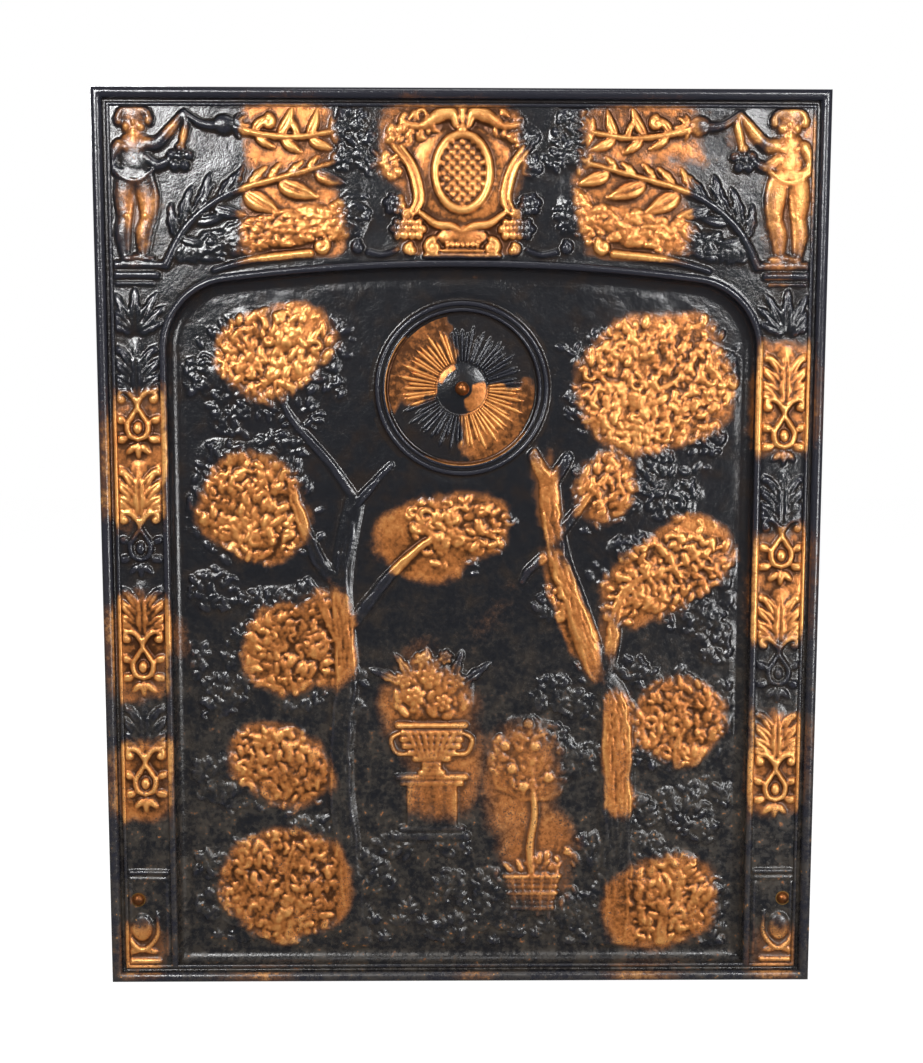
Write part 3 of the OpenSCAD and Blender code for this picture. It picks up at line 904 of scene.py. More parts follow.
class Graph:
    """Nodes of one material or of the world."""

    def __init__(self, owner: bpy.types.Material | bpy.types.World) -> None:
        """Clears the owner's nodes.

        Args:
            owner: The material or the world that holds the nodes.
        """
        owner.use_nodes = True
        self.tree = owner.node_tree
        self.tree.nodes.clear()

    @cached_property
    def place(self) -> bpy.types.NodeSocket:
        """Places over the object."""
        return self.node("ShaderNodeTexCoord").outputs["Object"]

    def node(self, kind: str, settings: dict | None = None, inputs: dict | None = None) -> bpy.types.Node:
        """Adds a node.

        Args:
            kind: The node's type.
            settings: Its own settings, set first. "stops" are a ramp's places and colours.
            inputs: Values or links of its sockets, by name or number.

        Returns:
            The node.
        """
        made = self.tree.nodes.new(kind)
        for key, setting in (settings or {}).items():
            if key == "stops":
                self._set_stops(made, setting)
            else:
                setattr(made, key, setting)
        for key, value in (inputs or {}).items():
            self._feed(made.inputs[key], value)
        return made

    def _set_stops(self, ramp: bpy.types.Node, stops: Sequence[tuple[float, Colour]]) -> None:
        """Sets a ramp's stops.

        Args:
            ramp: The ramp's node.
            stops: Places from 0 to 1, each with its colour.
        """
        elements = ramp.color_ramp.elements
        while len(elements) < len(stops):
            elements.new(0.5)
        for element, (place, colour) in zip(elements, stops):
            element.position = place
            element.color = colour

    def _feed(self, socket: bpy.types.NodeSocket, value: Any) -> None:
        """Links a socket, or sets its number or colour.

        Args:
            socket: The socket.
            value: A link, a number or a colour.
        """
        if isinstance(value, Value):
            value = value.socket
        if isinstance(value, bpy.types.NodeSocket):
            self.tree.links.new(value, socket)
        else:
            socket.default_value = value

    def maths(self, operation: str, first: Any, second: Any, clamp: bool = False) -> Value:
        """Answer of a Math node on two numbers, held between 0 and 1 where clamp is set."""
        settings = {"operation": operation, "use_clamp": clamp}
        return Value(self, self.node("ShaderNodeMath", settings, {0: first, 1: second}).outputs[0])

    def stored(self, name: str) -> Value:
        """A number that the mesh stores at its points."""
        return Value(self, self.node("ShaderNodeAttribute", {"attribute_name": name}).outputs["Fac"])

    def height(self) -> Value:
        """Height over the object's foot, in metres."""
        return Value(self, self.node("ShaderNodeSeparateXYZ", None, {0: self.place}).outputs["Z"])

    def noise(self, scale: float, detail: float = 3.0, roughness: float = 0.55) -> Value:
        """Noise from 0 to 1 over the object, with so many features per metre and finer layers."""
        inputs = {"Vector": self.place, "Scale": scale, "Detail": detail, "Roughness": roughness}
        return Value(self, self.node("ShaderNodeTexNoise", None, inputs).outputs["Fac"])

    def blend(self, share: Value | float, low: Any, high: Any) -> bpy.types.NodeSocket:
        """Mix of two colours, from low where the share is 0 to high where it is 1."""
        return self.node("ShaderNodeMix", {"data_type": "RGBA"}, {0: share, 6: low, 7: high}).outputs[2]

    def ramp(self, share: Value, stops: Sequence[tuple[float, Colour]]) -> bpy.types.NodeSocket:
        """Colour ramp."""
        return self.node("ShaderNodeValToRGB", {"stops": stops}, {"Fac": share}).outputs["Color"]

    def bump(self, height: Value, distance: float, strength: float) -> bpy.types.NodeSocket:
        """Normal bent by a height from 0 to 1, where 1 stands for the distance in metres."""
        inputs = {"Height": height, "Distance": distance, "Strength": strength}
        return self.node("ShaderNodeBump", None, inputs).outputs["Normal"]

    def shine(self, inputs: dict[str, Any]) -> None:
        """Ends a material with a shader that has these sockets set or linked."""
        shader = self.node("ShaderNodeBsdfPrincipled", None, inputs)
        self.node("ShaderNodeOutputMaterial", None, {"Surface": shader.outputs["BSDF"]})


# Finishes


class Finish:
    """A finish that is made once and then shared."""

    name: str
    made: dict[Any, bpy.types.Material] = {}

    def material(self) -> bpy.types.Material:
        """The material of this finish.

        Returns:
            The material, with its nodes.
        """
        if self not in Finish.made:
            Finish.made[self] = bpy.data.materials.new(self.name)
            self.build(Graph(Finish.made[self]))
        return Finish.made[self]

    def build(self, g: Graph) -> None:
        """Adds the finish's nodes to its material's graph."""
        raise NotImplementedError


@dataclass(frozen=True)
class JapannedCopper(Finish):
    """Black japan over copper plate, let through to the copper where the mesh says so."""

    name: str = PLATED
    lacquer: Colour = srgb(17, 18, 22)
    sunk: Colour = srgb(30, 22, 17)
    sheen: Colour = srgb(40, 40, 50)
    # Painted sheen: colour of a highlight painted on the ridges of the black.
    dust: Colour = srgb(58, 52, 44)
    singed: Colour = srgb(86, 51, 24)
    copper: Colour = srgb(188, 115, 58)
    # The next two colours end the copper's ramp: a painted highlight on ridges and a painted shade in
    # hollows, which random tone also reaches.
    copper_highlight: Colour = srgb(240, 176, 102)
    copper_shade: Colour = srgb(70, 38, 16)
    roughness: float = 0.2

    def build(self, g: Graph) -> None:
        """Adds the black, the copper under it and the grime near the floor, with highlights painted on ridges
        and shade painted in hollows.

        Args:
            g: The material's graph.
        """
        flash = g.stored("flash")
        worn = g.stored("worn")
        broad = g.noise(18, 2)
        cloud = g.noise(60, 4)
        fine = g.noise(240, 4, 0.6)
        grain = g.noise(800, 3, 0.6)
        low = g.height().eased(0.42, 0.12)
        pits = grain.eased(0.52, 0.64) * cloud.eased(0.4, 0.6) * (0.35 + low * 0.65)
        specks = fine.eased(0.6, 0.68) * low * 0.5
        edge = flash + (cloud - 0.5) * 0.3 + (fine - 0.5) * 0.22 + worn * 0.12
        bare = edge.eased(0.1, 0.95) | (specks * cloud.eased(0.5, 0.6))
        bare = (bare * (1 - pits * 0.75)).held()
        # Copper tone: random swell, plus the ridge measure, which paints highlights on ridges and shade in
        # hollows.
        tone_and_shading = ((fine - 0.5) * 0.7 + (broad - 0.5) * 0.7 + worn * 0.42 + 0.46).held()
        stops = ((0.0, self.copper_shade), (0.24, self.singed), (0.5, self.copper), (1.0, self.copper_highlight))
        metal = g.ramp(tone_and_shading, stops)
        black = g.blend((cloud.eased(0.45, 0.75) * 0.7 - worn * 0.6).held(), self.lacquer, self.sunk)
        # Painted sheen: a grey-lilac highlight painted on the ridges of the black.
        black = g.blend((worn.eased(0.1, 0.9) * 0.4).held(), black, self.sheen)
        grime = (low * (cloud.eased(0.35, 0.7) * 0.6 + fine.eased(0.4, 0.7) * 0.4)).held()
        black = g.blend(grime * 0.75, black, self.dust)
        half = g.blend(bare.eased(0.05, 0.5), black, self.singed)
        matt = self.roughness + (fine - 0.5) * 0.16 + bare * 0.12 + grime * 0.22
        g.shine(
            {
                "Base Color": g.blend(bare.eased(0.25, 0.9), half, metal),
                "Metallic": (bare.eased(0.25, 0.9) * 0.7).held(),
                "Roughness": matt.held(),
                "Specular IOR Level": 0.6,
                "Normal": g.bump(fine * 0.7 + grain * 0.3, 0.001, 0.45),
            }
        )


@dataclass(frozen=True)
class PlainMetal(Finish):
    """Bare or plated metal with a little wear."""

    name: str
    colour: Colour
    worn: Colour
    roughness: float = 0.4
    metallic: float = 0.9

    def build(self, g: Graph) -> None:
        """Adds the metal and its dull spots.

        Args:
            g: The material's graph.
        """
        cloud = g.noise(120, 4)
        fine = g.noise(700, 4, 0.6)
        spots = (cloud.eased(0.5, 0.68) * 0.7 + fine.eased(0.58, 0.7) * 0.3).held()
        g.shine(
            {
                "Base Color": g.blend(spots, self.colour, self.worn),
                "Metallic": self.metallic,
                "Roughness": (self.roughness + spots * 0.25 + (fine - 0.5) * 0.1).held(),
                "Normal": g.bump(fine, 0.0003, 0.3),
            }
        )


JAPAN = JapannedCopper()
KNOB_COPPER = PlainMetal("knob_copper", srgb(138, 84, 46), srgb(52, 38, 30), 0.36)
SPRING_STEEL = PlainMetal("spring_steel", srgb(150, 152, 156), srgb(98, 84, 72), 0.36)
COLLAR_STEEL = PlainMetal("collar_steel", srgb(120, 121, 124), srgb(78, 66, 58), 0.5)
FASTENER_STEEL = PlainMetal("fastener_steel", srgb(136, 136, 138), srgb(92, 72, 56), 0.45)
WASHER_BRASS = PlainMetal("washer_brass", srgb(146, 110, 60), srgb(70, 54, 38), 0.42)


# Pieces of the cover


@dataclass
class Piece:
    """A sub-assembly of the pressed sheet."""

    sheet: Sheet = field(default_factory=Sheet)
    flashes: Flashes = field(default_factory=Flashes)

    def dressed(self, mesh: bpy.types.Mesh, x: np.ndarray, z: np.ndarray, worn: Any) -> None:
        """Stores the flashes, and the ridge measure that drives wear and painted highlights and shade, on a
        mesh.

        Args:
            mesh: The mesh.
            x: Places of its points, across.
            z: Places of its points, up.
            worn: How far each stands over its surroundings.
        """
        facing = np.empty(3 * len(mesh.vertices), np.float32)
        mesh.vertices.foreach_get("normal", facing)
        give(mesh, "flash", self.flashes.at(x, z) * ease(-facing[1::3].reshape(np.shape(x)), 0.0, 0.4))
        give(mesh, "worn", np.broadcast_to(np.asarray(worn, float), np.shape(x)))


@dataclass
class Border(Piece):
    """Folded flange, rolled rim, groove and thin bead, mitred at the corners, with a bow in its top edge."""

    bow_across: float = -38.0
    bow_wide: float = 50.0
    bow_rise: float = 2.5

    def section(self) -> list[tuple[float, float, float]]:
        """Section from the flange's rear edge round the front and back again.

        Returns:
            Each point's inset, height and ridge measure, which drives wear and painted highlights and shade.
        """
        s = self.sheet
        g = s.ground
        t = s.thickness
        groove_at = 2 * s.rim + s.groove
        fillet_at = groove_at + s.groove + s.fillet
        front = [(0, 0), (0, 1.5), (0, 4), (0, 7), (0, 12), *arc(s.rim, g, s.rim, 180, 0, 12)]
        front += arc(groove_at, g, s.groove, 195, 345, 7) + arc(fillet_at, g, s.fillet, 172, 0, 8)
        back = [(s.border, g - t), (groove_at + 2.2, g - t), *arc(groove_at, g, s.groove + t, 320, 205, 6)]
        back += arc(s.rim, g, s.rim - t, 0, 180, 10)
        back += [(t, 12), (t, 7), (t, 4), (t, 1.5), (t, 0)]
        # Painted highlight: the ridge measure grows with height over the ground, most on the rim's top; the
        # back gets a small negative value.
        worn = [(inset, out, max(-1.0, min(1.0, (out - g) / 2.2))) for inset, out in front]
        return worn + [(inset, out, -0.2) for inset, out in back]

    def build(self) -> bpy.types.Object:
        """Builds the border.

        Returns:
            The piece.
        """
        rows, worn, xs, zs = [], [], [], []
        for inset, out, wear in self.section():
            x, z = self.ring_at(inset)
            z = z + self.bow_lift(x, z, out)
            rows.append(self.sheet.place(x, z, np.full_like(x, out)))
            worn.append(np.full_like(x, wear))
            xs.append(x)
            zs.append(z)
        mesh = swept("border_moulding", rows)
        self.dressed(mesh, np.concatenate(xs), np.concatenate(zs), np.concatenate(worn))
        return add_piece(mesh)

    def ring_at(self, inset: float, pace: float = 4.0) -> tuple[np.ndarray, np.ndarray]:
        """Rectangle a distance inside the outline, clockwise from the lower left corner.

        Args:
            inset: The distance.
            pace: Rough distance between points.

        Returns:
            Places across and up.
        """
        half = self.sheet.width / 2 - inset
        low = inset
        high = self.sheet.height - inset
        upright = np.linspace(low, high, int(self.sheet.height / pace))[:-1]
        level = np.linspace(-half, half, int(self.sheet.width / pace))[:-1]
        side, end = np.full_like(upright, half), np.ones_like(level)
        x = np.concatenate([-side, level, side, -level])
        z = np.concatenate([upright, high * end, low + high - upright, low * end])
        return x, z

    def bow_lift(self, x: np.ndarray, z: np.ndarray, out: float) -> np.ndarray:
        """How far the bow lifts the rear of the top flange.

        Args:
            x: Places across.
            z: Places up.
            out: Their height over the flange's rear edge.

        Returns:
            The lifts.
        """
        share = np.clip(1 - ((x - self.bow_across) / (self.bow_wide / 2)) ** 2, 0, 1)
        near = 1 - min(1.0, max(0.0, out - 1.5) / 6)
        return np.where(z > self.sheet.height - 2, self.bow_rise * share * near, 0)


@dataclass
class ArchMoulding(Piece):
    """Bead round the arch and the cove that leads down to the field."""

    def build(self) -> list[bpy.types.Object]:
        """Builds the bead and the cove.

        Returns:
            The two pieces.
        """
        s = self.sheet
        g = s.ground
        t = s.thickness
        bead = [(-2 * s.bead - 0.7, g - 0.3), *arc(-s.bead, g, s.bead, 176, 0, 12)]
        bead += [(-t, g - t), (-2 * s.bead - 0.7, g - t)]
        rows, marks = [], []
        for x, out in bead:
            line = s.arch_line(x, s.border - 1.2)
            rows.append(s.place(line[:, 0], line[:, 1], np.full(len(line), out)))
            # Painted highlight: the ridge measure grows with height over the ground, most on the bead's top.
            marks.append((line, (out - g) / 2.5))
        pieces = [self.made("arch_bead", rows, marks, False)]
        hollow = arc(s.cove, g, s.cove, 180, 270, 12) + [(s.cove + 4, s.field)]
        hollow += [(s.cove + 4, s.field - t)] + arc(s.cove, g, s.cove + t, 270, 180, 12)
        rows, marks = [], []
        for x, out in hollow:
            line = s.arch_line(x, s.border + x)
            half = line[-1][0]
            foot = np.linspace(half, -half, 120)[1:-1]
            line = np.vstack([line, np.stack([foot, np.full_like(foot, s.border + x)], axis=1)])
            rows.append(s.place(line[:, 0], line[:, 1], np.full(len(line), out)))
            marks.append((line, 0.0 if out > g - 2 else -0.25))
        pieces.append(self.made("field_cove", rows, marks, True))
        return pieces

    def made(self, name: str, rows: list, marks: list, closed: bool) -> bpy.types.Object:
        """Makes one swept piece.

        Args:
            name: Name of the piece.
            rows: Its rows of points.
            marks: Each row's line on the sheet and ridge measure, which drives wear and painted highlights
                and shade.
            closed: Whether the path runs round into itself.

        Returns:
            The piece.
        """
        mesh = swept(name, rows[::-1], closed)
        line = np.concatenate([m[0] for m in marks[::-1]])
        worn = np.concatenate([np.full(len(m[0]), np.clip(m[1], -1, 1)) for m in marks[::-1]])
        self.dressed(mesh, line[:, 0], line[:, 1], worn)
        return add_piece(mesh)


@dataclass
class FlueRing(Piece):
    """Beads, groove and sloping wall round the flue hole, and the ledge behind the stop."""

    radius: float = 73.5
    bead: float = 2.0
    groove: float = 1.0
    lip: float = 1.5
    cove: float = 2.5
    hole: float = 56.7
    lap: float = 3.0
    steps: int = 240

    def build(self) -> bpy.types.Object:
        """Builds the ring.

        Returns:
            The piece.
        """
        s = self.sheet
        t = s.thickness
        level = s.field + self.cove
        bead_at = self.radius - self.bead
        groove_at = self.radius - 2 * self.bead - self.groove
        foot = self.radius - 2 * (self.bead + self.groove + self.lip) - self.cove
        lip_at = foot + self.cove + self.lip
        edge = self.radius + self.cove
        front = [(edge + self.lap, s.field), *arc(edge, level, self.cove, 270, 184, 6)]
        front += arc(bead_at, level, self.bead, 8, 180, 9) + arc(groove_at, level, self.groove, 345, 195, 5)
        front += arc(lip_at, level, self.lip, 8, 180, 8) + arc(foot, level, self.cove, 0, -90, 6)
        front += [(self.hole, s.field)]
        back = [(self.hole, s.field - t), (foot, s.field - t), (foot + self.cove + t, level - 0.6)]
        back += [(self.radius - t, level - 0.6), (edge, s.field - t), (edge + self.lap, s.field - t)]
        angles = np.linspace(0, 2 * math.pi, self.steps, endpoint=False)
        rows, xs, zs, marks, reach = [], [], [], [], []
        for radius, out in front + back:
            x = radius * np.cos(angles)
            z = s.flue + radius * np.sin(angles)
            rows.append(s.place(x, z, np.full_like(x, out)))
            xs.append(x)
            zs.append(z)
            # Painted highlight and shade: the ridge measure follows height over the ring's level, highest on
            # the beads and lip.
            marks.append(np.full_like(x, np.clip((out - level) / 1.2, -1, 1)))
            reach.append(np.full_like(x, radius))
        mesh = swept("flue_ring_moulding", rows)
        x, z = np.concatenate(xs), np.concatenate(zs)
        turn = np.degrees(np.arctan2(z - s.flue, x)) % 360
        inner = 1 - ease(np.concatenate(reach), foot + self.cove, foot + self.cove + 1.4)
        ragged = 12 * mottle(x, z, 14, 31)
        left = band(turn + ragged, (120, 145), (188, 214))
        low = 0.6 * band(turn + ragged, (232, 250), (318, 342))
        seen = np.repeat(np.arange(len(rows)) < len(front), self.steps)
        give(mesh, "flash", seen * inner * np.maximum(left, low))
        give(mesh, "worn", np.concatenate(marks))
        return add_piece(mesh)


@dataclass
class PressedGround(Piece):
    """The frieze and the pilasters: the ground of the sheet with its pressed ornament."""

    pitch: float = 0.8
    half: float = 292.0
    foot: float = 13.0
    split: float = 606.0
    top: float = 750.0
    most: float = 6.2
    lap: float = 1.7
    first_bud: dict = field(default_factory=lambda: {Side.LEFT: 178.5, Side.RIGHT: 172.5})
    bud_step: float = 101.8

    def build(self) -> list[bpy.types.Object]:
        """Presses the ornament and cuts the ground into its pieces.

        Returns:
            The pieces.
        """
        relief = Relief((-self.half, self.half, self.foot, self.top), self.pitch)
        for side in Side:
            self.pilaster(relief, side)
            self.child(relief, side)
            self.garland(relief, side)
            self.acanthus(relief, side)
        self.cartouche(relief)
        relief.soften(0.85)
        grid_x, grid_z = np.meshgrid(relief.x, relief.z)
        relief.height = self.most * np.tanh(relief.height / self.most)
        relief.height += 0.5 * mottle(grid_x, grid_z, 30, 11) + 0.12 * mottle(grid_x, grid_z, 9, 12)
        inset = self.sheet.inset(grid_x, grid_z)
        upright = np.minimum(grid_z, self.sheet.height - grid_z)
        inward = np.minimum(self.sheet.width / 2 - np.abs(grid_x), upright) - self.sheet.border
        outward = -2 * self.sheet.bead - inset
        keep = (outward > -self.lap) & (inward > -self.lap)
        relief.height *= ease(np.minimum(outward, inward), -0.6, 2.2)
        plate = PressedPlate(self.sheet, self.flashes, relief, keep, self.sheet.ground)
        frieze = plate.pair("frieze_{}", self.split, self.top)
        return frieze + plate.pair("pilaster_{}", self.foot, self.split)

    def pilaster(self, relief: Relief, side: Side) -> None:
        """Presses one pilaster: plinth, four husks and a capital.

        Args:
            relief: The map.
            side: Which side.
        """
        mid = side.value * 272.0
        for k in range(4):
            self.husk(relief, mid, self.first_bud[side] + k * self.bud_step)
        for spread, length in ((58, 24), (36, 32), (17, 38)):
            for hand in HANDS:
                relief.leaf(mid + hand * 2, 562, length, 11, 90 - hand * spread, 4.0, -hand * 0.16, 0.5, 3)
        relief.leaf(mid, 562, 40, 12, 90, 4.5, 0, 0.5, 3)
        relief.bar(mid, 610, 18, 3.6, 3.6)
        relief.bar(mid, 603, 15, 1.6, 2.2)
        relief.bar(mid, 98.5, 18, 2.0, 2.8)
        relief.bar(mid, 92.5, 16, 1.2, 1.5)
        for hand in HANDS:
            relief.stroke([(mid + hand * 16, 24), (mid + hand * 16, 88)], 1.1, 1.4)
        boss = side.value * 278.0
        collar = [(boss - 13, 62), (boss - 13, 42), (boss, 29), (boss + 13, 42), (boss + 13, 62)]
        relief.rope(collar, (1.4, 2.6, 1.4), 3.2)
        relief.dome(boss, 49, 9.5, 12.5, 5.2)
        for hand in HANDS:
            relief.leaf(boss, 31, 15, 6, -90 + hand * 62, 3.0, hand * 0.2)
        relief.bar(boss, 19, 15, 2.2, 2.6)

    def husk(self, relief: Relief, mid: float, bud: float) -> None:
        """Presses one husk: a bud in its drop, a stem that parts into volutes and a sheaf of acanthus.

        Args:
            relief: The map.
            mid: Middle of the pilaster.
            bud: Height of the bud.
        """
        relief.dome(mid, bud + 50, 11, 24, 1.6)
        sheaf = ((46, 14, 26, 9), (36, 24, 31, 10), (30, 38, 29, 10), (27, 54, 25, 9))
        stem = ((0, 19), (5, 27), (11, 30), (16, 27))
        ring = ((0, 17), (4, 10), (8.6, 2), (6.4, -7), (0, -10))
        for hand in HANDS:
            for up, lean, length, wide in sheaf:
                foot = mid + hand * 2.5
                relief.leaf(foot, bud + up, length, wide, 90 - hand * lean, 3.6, -hand * 0.36, 0.5)
            relief.leaf(mid + hand * 9, bud + 62, 11, 6, 90 - hand * 62, 3.2, -hand * 0.3)
            relief.rope([(mid + hand * x, bud + z) for x, z in stem], (2.0, 2.6, 2.0), 4.2)
            relief.scroll(mid + hand * 13.2, bud + 24, 4.8, 1.8, 90 - hand * 60, -hand, 4.2)
            relief.rope([(mid + hand * x, bud + z) for x, z in ring], (1.6, 2.2, 2.6, 2.2), 4.2)
            relief.leaf(mid + hand * 10, bud + 3, 13, 6.5, 90 - hand * 48, 3.2, -hand * 0.3)
            relief.leaf(mid + hand * 8, bud - 8, 14, 7, 90 - hand * 118, 3.4, hand * 0.3, 0.4)
            relief.leaf(mid + hand * 2, bud - 14, 12, 6, 90 - hand * 148, 3.2, hand * 0.2)
        relief.leaf(mid, bud + 21, 50, 13, 90, 4.4, 0, 0.5, 4)
        relief.stroke([(mid, bud + 14), (mid, bud + 23)], (2.0, 2.8), 4.4)
        relief.dome(mid, bud - 1, 4.4, 5.6, 4.6)
        relief.leaf(mid, bud - 12, 15, 6.5, -90, 3.4)

    def child(self, relief: Relief, side: Side) -> None:
        """Presses one of the two garland bearers, a plain child figure on a slab.

        Args:
            relief: The map.
            side: Which side.
        """
        hand = side.value
        mid = hand * 270

        def limb(line: Sequence[Point], radii: Sequence[float] | float, lift: float) -> None:
            """Presses a smooth rope along points measured from the figure's middle, outwards and up."""
            relief.rope([(mid + hand * x, z) for x, z in line], radii, lift)

        limb(((-23, 618), (18, 618)), 3.8, 3.6)
        limb(((-14, 618), (-2, 624), (11, 619)), 4, 3.0)
        limb(((6, 690), (9, 674), (9, 657), (10.5, 644), (9, 625)), (10.4, 9.4, 6.6, 7.2, 4.2), 4.4)
        limb(((-6, 689), (-10.5, 674), (-11, 657), (-7, 644), (-6, 625)), (10.6, 9.6, 6.8, 7.4, 4.2), 4.4)
        limb(((0, 714), (0, 704), (0, 693)), (13.0, 13.4, 13.6), 4.2)
        limb(((-15, 695), (-5, 687), (6, 687), (14, 692)), (2.4, 3.6, 2.6), 5.4)
        limb(((-10, 716), (-19, 717), (-29, 727), (-41, 741)), (6.2, 5.6, 4.6, 3.4), 4.4)
        limb(((-9, 705), (-19, 699), (-29, 703)), (5.0, 4.6, 3.6), 4.4)
        limb(((12, 714), (19, 702), (13, 694), (0, 694)), (6.2, 5.4, 4.8, 3.8), 5.2)
        limb(((0, 725), (0, 718)), 5.6, 4.0)
        limb(((-39, 714), (-41, 724), (-43, 733), (-41, 741)), (2.4, 3.4, 2.6), 4.2)
        body = (
            (6.5, 623, 7, 3.6, 4.2),
            (-9, 623, 7, 3.6, 4.2),
            (7.1, 658, 4, 3.6, 4.9),
            (-8.4, 658, 4, 3.6, 4.9),
            (-1, 700, 11.5, 10, 4.8),
            (-6, 713, 6, 5, 4.6),
            (6.5, 713, 6, 5, 4.6),
        )
        head = (
            (0, 740, 12, 8.4, 4.6),
            (0, 733.5, 10.6, 11.4, 4.0),
            (-5.4, 730.2, 4.0, 3.8, 4.7),
            (5.4, 730.2, 4.0, 3.8, 4.7),
            (0, 733.2, 1.8, 3.8, 5.8),
            (0, 726.9, 3.0, 1.3, 5.5),
            (0, 723.6, 3.4, 2.2, 4.8),
            (0, 740.4, 8.6, 2.8, 4.8),
        )
        for across, up, wide, high, lift in body + head:
            relief.dome(mid + hand * across, up, wide, high, lift)
        for i in range(15):
            angle = math.radians(-8 + i * 14)
            up = min(735.5 + 10.6 * math.sin(angle), 744.5)
            relief.dome(mid + hand * 12.4 * math.cos(angle), up, 3.6 + 0.6 * (i % 2), 3.2, 4.2)
        grapes = ((-37, 706), (-33, 699), (-41, 699), (-44, 707), (-38, 713), (-31, 707))
        for i, (across, up) in enumerate(grapes):
            relief.dome(mid + hand * across, up, 4.6, 4.4, 4.2 + 0.2 * (i % 3))

    def garland(self, relief: Relief, side: Side) -> None:
        """Presses one garland: a bell flower and a leafy stem along the top of the frieze.

        Args:
            relief: The map.
            side: Which side.
        """
        hand = side.value
        ribbon = [(hand * 228, 741), (hand * 216, 733), (hand * 205, 731)]
        relief.rope(ribbon, (2.6, 4.2), 4.2)
        relief.dome(hand * 196, 732, 10, 8, 4.8)
        relief.fan(hand * 190, 731, 17, 50, 2, side.aim(0), 4.4)
        stem = [(hand * 186, 729), (hand * 165, 724), (hand * 136, 722), (hand * 104, 727)]
        relief.rope(stem, (3.4, 2.6, 2.2), 4.0)
        for across, up, turn, length, wide, bend in (
            (172, 725, 66, 20, 9, -0.35),
            (170, 724, -52, 18, 7.0, 0.3),
            (152, 723, 44, 27, 10, 0.35),
            (148, 722, -56, 19, 9, 0.3),
            (134, 722, 128, 17, 6.5, -0.3),
            (128, 722, 50, 24, 9.5, 0.35),
            (126, 722, -42, 22, 9, 0.3),
        ):
            relief.leaf(hand * across, up, length, wide, side.aim(turn), 3.8, -hand * bend, 0.4)
        relief.scroll(hand * 160, 734, 7.4, 2.4, 90, hand, 4.2)
        relief.fan(hand * 108, 726, 19, 66, 3, side.aim(12), 4.4)
        for across, up, seed in ((84, 722, 1), (90, 738, 2), (78, 704, 3), (96, 704, 4)):
            relief.foliage(hand * across, up, 13, 10, 600 + seed + hand, 3.8, 8, 0.3, 0.9)

    def acanthus(self, relief: Relief, side: Side) -> None:
        """Presses one rising acanthus branch over a bed of curls, with a scroll along the arch.

        Args:
            relief: The map.
            side: Which side.
        """
        hand = side.value
        inner = ((118, 652, 26, 17), (148, 648, 28, 16), (178, 640, 24, 16))
        ends = ((92, 660, 16, 20), (206, 634, 16, 14))
        for across, up, wide, high in inner + ends:
            seed = 700 + across + hand
            relief.foliage(hand * across, up, wide, high, seed, 3.8, 6.6, 0.5, 1.2, True)
        stem = [(246, 618), (230, 647), (207, 668), (180, 681), (140, 692), (96, 704)]
        relief.rope([(hand * x, z) for x, z in stem], (3.8, 3.2, 1.8), 4.6)
        for across, up, turn, length, wide in (
            (236, 640, 108, 30, 10),
            (232, 648, 84, 36, 11),
            (224, 655, 66, 36, 11),
            (214, 662, 88, 32, 10),
            (202, 670, 62, 30, 9.5),
            (190, 677, 74, 24, 8.5),
            (176, 683, 54, 22, 8),
            (160, 687, 62, 18, 7),
            (144, 691, 48, 18, 6.5),
            (128, 696, 56, 15, 6),
        ):
            relief.leaf(hand * across, up, length, wide, side.aim(turn), 4.4, hand * 0.14, 0.5, 3)
        for across, up, turn, length, wide in (
            (234, 640, -22, 24, 9),
            (222, 654, 0, 27, 10),
            (206, 665, -22, 28, 12),
            (180, 678, -40, 34, 16),
            (152, 686, -30, 34, 15),
            (122, 694, -28, 28, 12),
        ):
            relief.leaf(hand * across, up, length, wide, side.aim(turn), 4.0, -hand * 0.16, 0.35, 0)
        strip = [(hand * 206, 614), (hand * 176, 622), (hand * 146, 626), (hand * 126, 628)]
        relief.rope(strip, (2.2, 3.6, 3.2), 4.6)
        relief.scroll(hand * 117, 634, 8.6, 2.8, 90 + hand * 40, hand, 4.8)
        relief.scroll(hand * 86, 633, 6.8, 2.2, 90, -hand, 4.4)
        relief.rope([(hand * 78, 629), (hand * 66, 627), (hand * 54, 631)], (2.6, 1.8), 3.8)
        for k in range(4):
            relief.fan(hand * (238 - 5 * k), 622 + 3 * k, 17, 50, 2, side.aim(60 - 26 * k), 3.6)

    def cartouche(self, relief: Relief) -> None:
        """Presses the oval in its strapwork, with its chalice, volutes, grapes and crest of leaves.

        Args:
            relief: The map.
        """
        relief.dome(0, 690, 44, 42, 2.6)
        for hand in HANDS:
            for across, up, wide, high in ((36, 733, 18, 12), (52, 722, 12, 12), (58, 700, 10, 12)):
                relief.foliage(hand * across, up, wide, high, 800 + across + hand, 4.0, 8, 0.35, 1.1)
            crest = [(hand * 5, 731), (hand * 9, 741), (hand * 20, 739), (hand * 34, 731), (hand * 47, 733)]
            relief.rope(crest, (2.6, 5.4, 6.0, 4.0, 2.6), 5.0)
            relief.bunch(hand * 56, 668, 8, 9, 3.5, 4.6, hand * 12)
            relief.bunch(hand * 45, 648, 17, 9, 3.5, 4.8)
            strap = [(hand * 54, 714), (hand * 44, 701), (hand * 38, 686), (hand * 36, 670), (hand * 42, 659)]
            relief.rope(strap, (2.0, 3.6, 4.2, 3.6, 2.6), 3.6)
            for off in (-3.2, 3.2):
                edge = [(x + hand * off, z + 1) for x, z in strap]
                relief.rope(edge, 1.5, 5.0)
            relief.scroll(hand * 46, 659, 7.0, 2.6, 180 if hand > 0 else 0, -hand, 5.4)
            relief.scroll(hand * 24, 633, 9.4, 3.2, 90, -hand, 5.6)
            relief.scroll(hand * 43, 631, 6.8, 2.4, 90, -hand, 4.8)
        swag = [(-35, 661), (-22, 652), (-9, 650), (0, 646), (9, 650), (22, 652), (35, 661)]
        relief.rope(swag, (2.6, 3.6, 3.0, 3.6, 2.6), 5.8)
